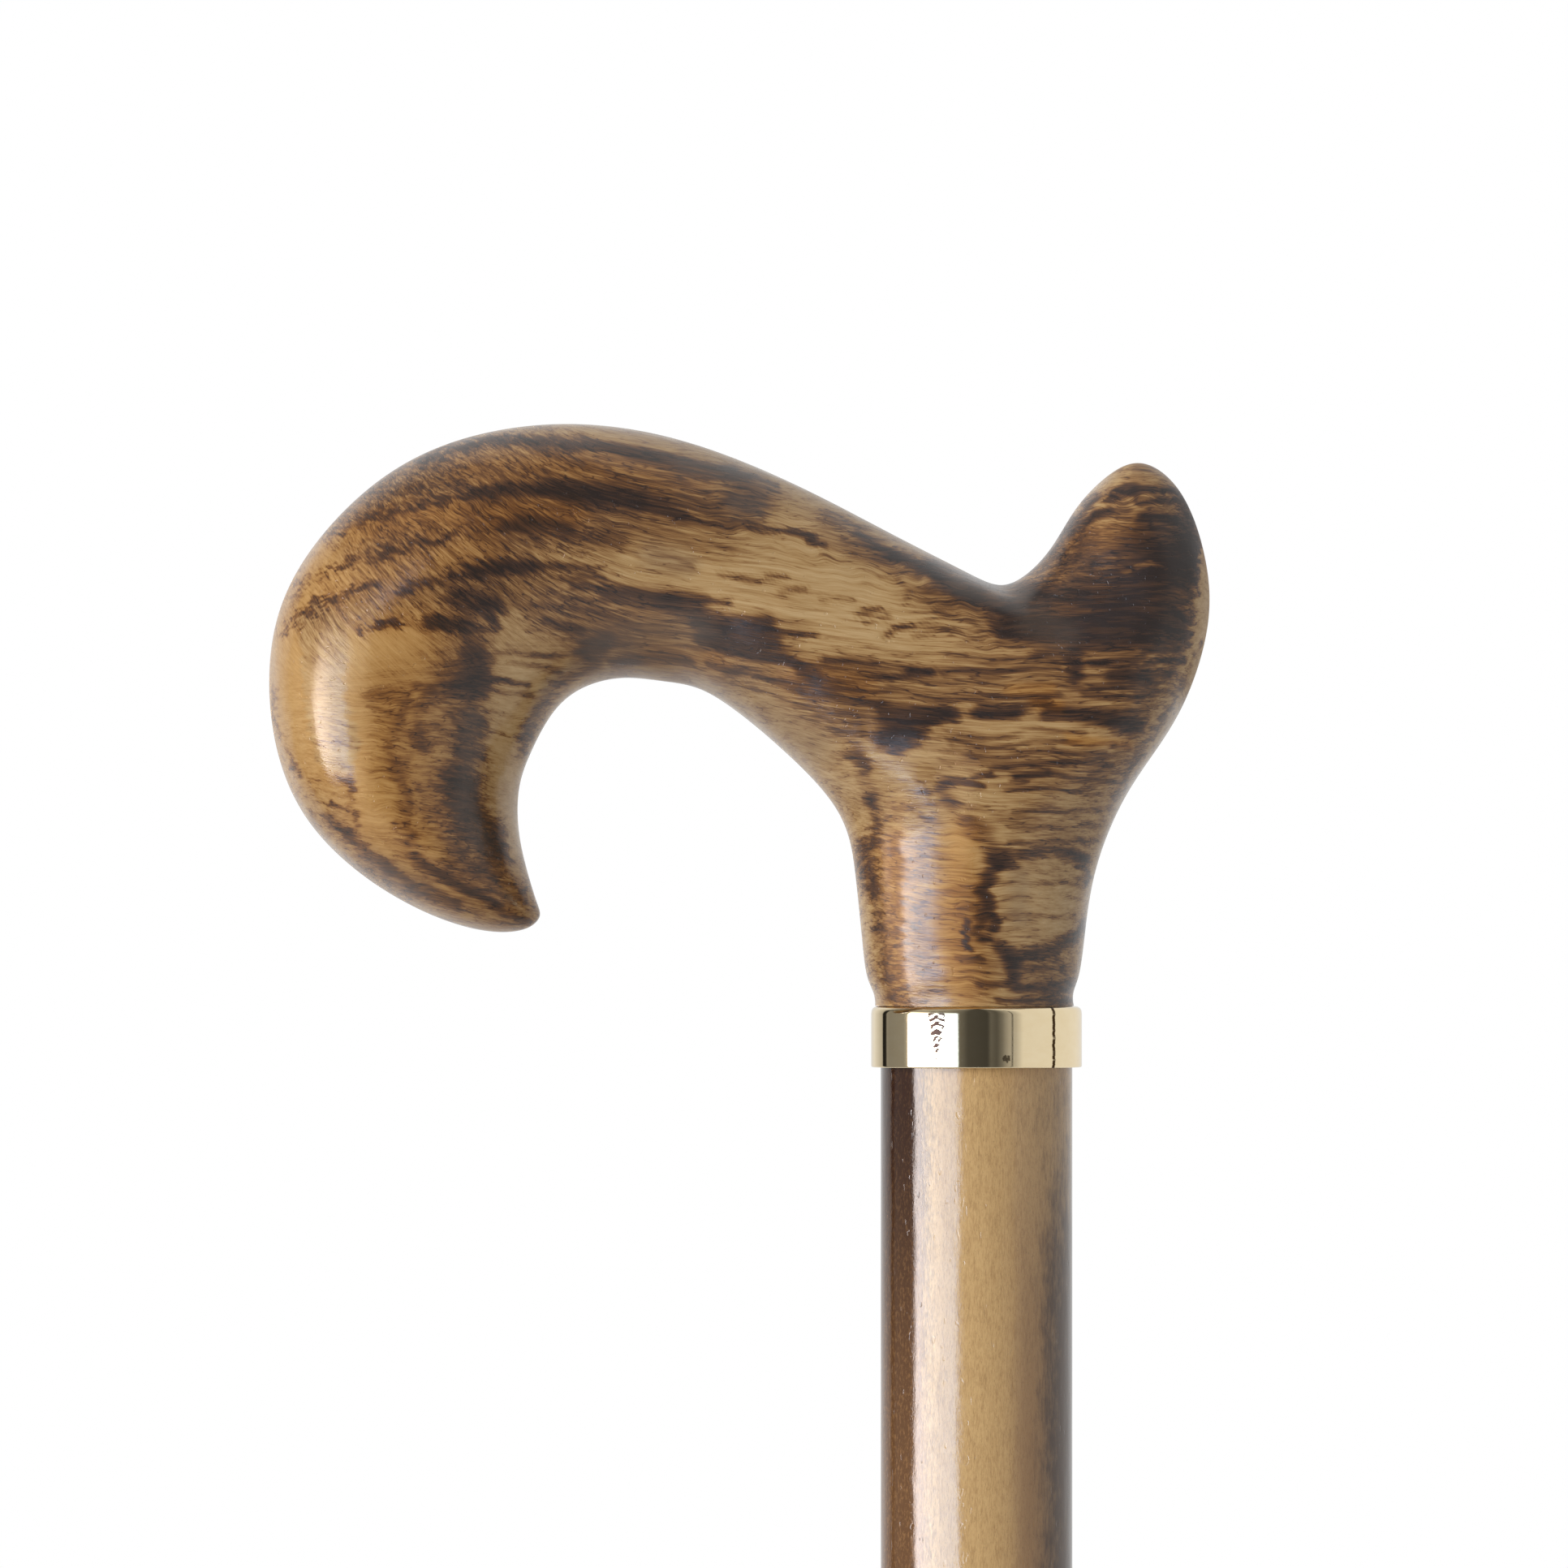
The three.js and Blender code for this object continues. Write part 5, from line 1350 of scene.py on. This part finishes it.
class STICK_OT_brass_collar(StickOperator, bpy.types.Operator):
    """Turns the polished brass collar"""
    bl_idname = "stick.brass_collar"
    bl_label = "Brass Collar"

    def execute(self, context):
        inner = SHAFT_RADIUS + SEAT_GAP
        profile = [
            (COLLAR_RADIUS, COLLAR_FOOT, COLLAR_FOOT_EDGE),
            (COLLAR_RADIUS, COLLAR_TOP, COLLAR_TOP_EDGE),
            (inner, COLLAR_TOP, COLLAR_INNER_EDGE),
            (inner, COLLAR_FOOT, COLLAR_INNER_EDGE),
        ]
        mesh = turned_mesh("brass_collar", profile, COLLAR_SEGMENTS)
        material = collar_brass(context.scene.stick_metal)
        add_piece("brass_collar", mesh, material, "stick", "collar_brass", "collar")
        return {"FINISHED"}


class STICK_OT_stained_shaft(StickOperator, bpy.types.Operator):
    """Turns the tapered shaft, with the stud's bore in its top"""
    bl_idname = "stick.stained_shaft"
    bl_label = "Stained Shaft"

    def execute(self, context):
        settings = context.scene.stick_shaft
        bore = context.scene.stick_metal.bore_radius
        bore_floor = STUD_BOX[0].z - BORE_OVERRUN
        profile = [
            (0, SHAFT_FOOT, 0),
            (settings.tip_radius, SHAFT_FOOT, SHAFT_TIP_EDGE),
            (settings.tip_radius, SHAFT_FOOT + settings.tip_land, 0),
            (SHAFT_RADIUS, COLLAR_FOOT - settings.straight, 0),
            (SHAFT_RADIUS, SHAFT_TOP, SHAFT_TOP_EDGE),
            (bore, SHAFT_TOP, SHAFT_TOP_EDGE),
            (bore, bore_floor, 0),
            (0, bore_floor, 0),
        ]
        mesh = turned_mesh("stained_shaft", profile)
        add_piece("stained_shaft", mesh, shaft_wood(settings), "stick", "shaft_wood", "shaft")
        return {"FINISHED"}


class STICK_OT_steel_fittings(StickOperator, bpy.types.Operator):
    """Finishes the joining stud and the ferrule's washer in zinc-plated steel"""
    bl_idname = "stick.steel_fittings"
    bl_label = "Steel Fittings"

    def execute(self, context):
        material = zinc_steel(context.scene.stick_metal)
        dress_solid("joining_stud", material)
        dress_solid("ferrule_washer", material)
        return {"FINISHED"}


# The ferrule's mouldings
SOCKET_GAP = 0.1 * MM  # between the rubber and the shaft's tip
RIM_REACH = 0.9 * MM  # past the waist
RIM_HEIGHT = 4.0 * MM
RIM_EDGE = 0.9 * MM
CROWN_REACH = 0.8 * MM  # how far the ribs and the shoulder stand out from the waist
RIB_PITCH = 5.0 * MM
RIB_STEP = 0.8 * MM  # height of a rib's slope, and of its crown
SHOULDER_HEIGHT = 1.5 * MM
SHOULDER_EDGES = (0.6 * MM, 0.4 * MM)
FLANGE_HEIGHT = 6.0 * MM
FLANGE_EDGES = (0.75 * MM, 1.6 * MM)
TREAD_GROOVES = (4.5 * MM, 9.5 * MM)  # inner radii
GROOVE_WIDTH = 2.4 * MM
GROOVE_DEPTH = 1.6 * MM
MOULD_EDGE = 0.3 * MM


class STICK_OT_rubber_ferrule(StickOperator, bpy.types.Operator):
    """Moulds the ribbed rubber ferrule"""
    bl_idname = "stick.rubber_ferrule"
    bl_label = "Rubber Ferrule"

    def execute(self, context):
        settings = context.scene.stick_ferrule
        socket = context.scene.stick_shaft.tip_radius + SOCKET_GAP
        waist = socket + settings.wall
        rim = waist + RIM_REACH
        crown = waist + CROWN_REACH
        recess = WASHER_RADIUS + SEAT_GAP
        recess_top = WASHER_BOX[1].z + SEAT_GAP
        rim_foot = FERRULE_TOP - RIM_HEIGHT
        profile = [(0, 0, 0)]
        for start in TREAD_GROOVES:
            end = start + GROOVE_WIDTH
            profile += [
                (start, 0, MOULD_EDGE), (start, GROOVE_DEPTH, MOULD_EDGE),
                (end, GROOVE_DEPTH, MOULD_EDGE), (end, 0, MOULD_EDGE)]
        profile += [
            (FLANGE_RADIUS, 0, FLANGE_EDGES[0]),
            (FLANGE_RADIUS, FLANGE_HEIGHT, FLANGE_EDGES[1]),
            (crown, FLANGE_HEIGHT, SHOULDER_EDGES[0]),
            (crown, FLANGE_HEIGHT + SHOULDER_HEIGHT, SHOULDER_EDGES[1]),
        ]
        for rib in range(settings.ribs):
            foot = rim_foot - (settings.ribs - rib) * RIB_PITCH
            profile += [
                (waist, foot, MOULD_EDGE), (crown, foot + RIB_STEP, MOULD_EDGE),
                (crown, foot + 2 * RIB_STEP, MOULD_EDGE), (waist, foot + 3 * RIB_STEP, MOULD_EDGE)]
        profile += [
            (waist, rim_foot, MOULD_EDGE),
            (rim, rim_foot + RIB_STEP, MOULD_EDGE),
            (rim, FERRULE_TOP, RIM_EDGE),
            (socket, FERRULE_TOP, RIM_EDGE),
            (socket, recess_top, 0),
            (recess, recess_top, 0),
            (recess, settings.sole, 0),
            (0, settings.sole, 0),
        ]
        mesh = turned_mesh("rubber_ferrule", profile)
        material = moulded_rubber(settings)
        add_piece("rubber_ferrule", mesh, material, "ferrule", "ferrule_rubber", "ferrule")
        return {"FINISHED"}


class STICK_OT_stage(StickOperator, bpy.types.Operator):
    """Sets up the pale floor, the soft studio light and the camera"""
    bl_idname = "stick.stage"
    bl_label = "Stage"

    def execute(self, context):
        settings = context.scene.stick_stage
        add_floor(settings)
        add_key_lamp(settings)
        context.scene.world = studio_surround(settings)
        add_camera(context.scene)
        context.scene.view_settings.view_transform = "Standard"
        return {"FINISHED"}


FLOOR_SEGMENTS = 96
FLOOR_FADE_SHARE = 0.25  # of the floor's radius, where it starts to fade out


def add_floor(settings):
    """A pale floor that fades out towards its rim."""
    mesh = bpy.data.meshes.new("floor")
    body = bmesh.new()
    bmesh.ops.create_circle(
        body, cap_ends=True, radius=settings.floor_radius, segments=FLOOR_SEGMENTS)
    body.to_mesh(mesh)
    body.free()
    material, graph, shader = new_material("pale_floor")
    place = graph.add("ShaderNodeTexCoord").outputs["Object"]
    away = graph.add("ShaderNodeVectorMath", {0: place}, operation="LENGTH").outputs["Value"]
    fade = graph.step(away, settings.floor_radius, settings.floor_radius * FLOOR_FADE_SHARE)
    clouds = graph.step(graph.noise(place, 3.0, 3, 0.5), 0.3, 0.7, 0, 0.06)
    graph.join(graph.mix(clouds, settings.floor_colour, settings.cloud_colour), shader["Base Color"])
    shader["Roughness"].default_value = 0.75
    graph.join(fade, shader["Alpha"])
    mesh.materials.append(material)
    floor = bpy.data.objects.new("floor", mesh)
    bpy.context.scene.collection.objects.link(floor)


KEY_TURN = -48  # degrees from the front, negative towards the handle's nose
KEY_RISE = 17  # degrees above the handle
KEY_DISTANCE = 3.0
KEY_SIZE = (1.9, 2.2)


def add_key_lamp(settings):
    """A large soft lamp for matt surfaces; shiny ones see the softbox in the world instead."""
    lamp = bpy.data.lights.new("key_lamp", "AREA")
    lamp.shape = "RECTANGLE"
    lamp.size, lamp.size_y = KEY_SIZE
    lamp.energy = settings.key_power
    holder = bpy.data.objects.new("key_lamp", lamp)
    turn, rise = math.radians(KEY_TURN), math.radians(KEY_RISE)
    out = Vector((math.sin(turn) * math.cos(rise), -math.cos(turn) * math.cos(rise), math.sin(rise)))
    target = Vector((FRAME_CENTRE[0], 0, FRAME_CENTRE[1]))
    holder.location = target + out * KEY_DISTANCE
    holder.rotation_mode = "QUATERNION"
    holder.rotation_quaternion = (-out).to_track_quat("-Z", "Y")
    holder.visible_glossy = False
    holder.visible_camera = False
    bpy.context.scene.collection.objects.link(holder)


# What shiny things see round them at eye level: (turn from the front in degrees, brightness)
SURROUND_TURNS = (
    (-180, 0.80), (-150, 0.88), (-133, 0.62), (-127, 0.52), (-125.5, 0.02), (-118.5, 0.02),
    (-117, 0.30), (-112, 0.26), (-88, 0.30), (-80, 0.55), (-20, 0.18), (-10, 0.08), (12, 0.06),
    (15, 0.14), (22, 0.10), (28, 0.20), (33, 0.36), (38, 0.48), (38.8, 0.04), (39.8, 0.04),
    (40.6, 0.54), (43, 0.52), (52, 0.86), (140, 0.92), (180, 0.80),
)
# The softbox in them, brightest and warmest at its outer edge
SOFTBOX_TURNS = (
    (-82, (0.0, 0.0, 0.0)), (-79, (1.16, 1.04, 1.00)), (-60, (0.80, 0.82, 0.87)),
    (-42, (0.42, 0.53, 0.70)), (-24, (0.36, 0.48, 0.66)), (-20.5, (0.0, 0.0, 0.0)),
)
# Degrees above eye level between which the softbox starts at its foot and at its top
SOFTBOX_FOOT_RISES = (-30, -6)
SOFTBOX_TOP_RISES = (25, -5)
# What shiny things see below them, and the degrees between which it sets in
FLOOR_GLOW = (1.8, 1.8, 1.9)
FLOOR_GLOW_RISES = (-28, -60)


def studio_surround(settings):
    """White to the camera, an even glow to matt surfaces, and a softbox in a studio to shiny ones."""
    world = bpy.data.worlds.new("studio_surround")
    world.use_nodes = True
    world.cycles.sampling_method = "NONE"
    graph = Graph(world.node_tree)
    background = next(n for n in world.node_tree.nodes if n.type == "BACKGROUND")
    towards = graph.add("ShaderNodeTexCoord").outputs["Generated"]
    parts = graph.add("ShaderNodeSeparateXYZ", {"Vector": towards}).outputs
    turn = graph.math("ARCTAN2", parts["X"], graph.math("MULTIPLY", parts["Y"], -1.0))
    turn = graph.math("DEGREES", turn)
    rise = graph.math("DEGREES", graph.math("ARCSINE", parts["Z"]))
    round_turn = graph.math("MULTIPLY_ADD", turn, 1 / 360, 0.5)

    def seen_round(turns):
        return graph.ramp(round_turn, [(degrees / 360 + 0.5, shade) for degrees, shade in turns])

    room = graph.mix(graph.step(rise, *FLOOR_GLOW_RISES), seen_round(SURROUND_TURNS), FLOOR_GLOW)
    panel = seen_round(SOFTBOX_TURNS)
    upright = graph.math(
        "MULTIPLY", graph.step(rise, *SOFTBOX_FOOT_RISES), graph.step(rise, *SOFTBOX_TOP_RISES))
    strength = graph.math("MULTIPLY", upright, settings.softbox_strength)
    panel = graph.add("ShaderNodeVectorMath", {0: panel, "Scale": strength}, operation="SCALE").outputs[0]
    glow = graph.mix(1.0, panel, room, "ADD")
    path = graph.add("ShaderNodeLightPath").outputs
    seen = graph.mix(path["Is Glossy Ray"], (settings.ambient,) * 3, glow)
    direct = graph.math("MAXIMUM", path["Is Camera Ray"], path["Is Transmission Ray"])
    graph.join(graph.mix(direct, seen, (1.0, 1.0, 1.0)), background.inputs["Color"])
    background.inputs["Strength"].default_value = 1
    return world


def add_camera(scene):
    """The photograph's camera, level and square to the handle's side."""
    view = bpy.data.cameras.new("photo_camera")
    view.lens = CAMERA_LENS
    view.sensor_width = FRAME_WIDTH * CAMERA_LENS / CAMERA_DISTANCE
    camera = bpy.data.objects.new("photo_camera", view)
    camera.location = (FRAME_CENTRE[0], -CAMERA_DISTANCE, FRAME_CENTRE[1])
    camera.rotation_euler = (math.radians(90), 0, 0)
    scene.collection.objects.link(camera)
    scene.camera = camera


class STICK_PT_sidebar(bpy.types.Panel):
    """Sizes, colours and the pieces to build"""
    bl_label = "Walking Stick"
    bl_idname = "STICK_PT_sidebar"
    bl_space_type = "VIEW_3D"
    bl_region_type = "UI"
    bl_category = "Stick"

    def draw(self, context):
        for name, settings in SETTINGS.items():
            box = self.layout.box()
            box.label(text=name.replace("stick_", "").title())
            for key in settings.__annotations__:
                box.prop(getattr(context.scene, name), key)
        for operator in OPERATORS:
            self.layout.operator(operator.bl_idname)


SETTINGS = {
    "stick_handle": HandleSettings,
    "stick_shaft": ShaftSettings,
    "stick_metal": MetalSettings,
    "stick_ferrule": FerruleSettings,
    "stick_stage": StageSettings,
}
OPERATORS = (
    STICK_OT_carved_handle,
    STICK_OT_brass_collar,
    STICK_OT_stained_shaft,
    STICK_OT_steel_fittings,
    STICK_OT_rubber_ferrule,
    STICK_OT_stage,
)


def register():
    for cls in (*SETTINGS.values(), *OPERATORS, STICK_PT_sidebar):
        bpy.utils.register_class(cls)
    for name, settings in SETTINGS.items():
        setattr(bpy.types.Scene, name, bpy.props.PointerProperty(type=settings))


def unregister():
    for name in SETTINGS:
        delattr(bpy.types.Scene, name)
    for cls in reversed((*SETTINGS.values(), *OPERATORS, STICK_PT_sidebar)):
        bpy.utils.unregister_class(cls)


def main():
    register()
    for operator in OPERATORS:
        group, name = operator.bl_idname.split(".")
        getattr(getattr(bpy.ops, group), name)()


if __name__ == "__main__":
    main()
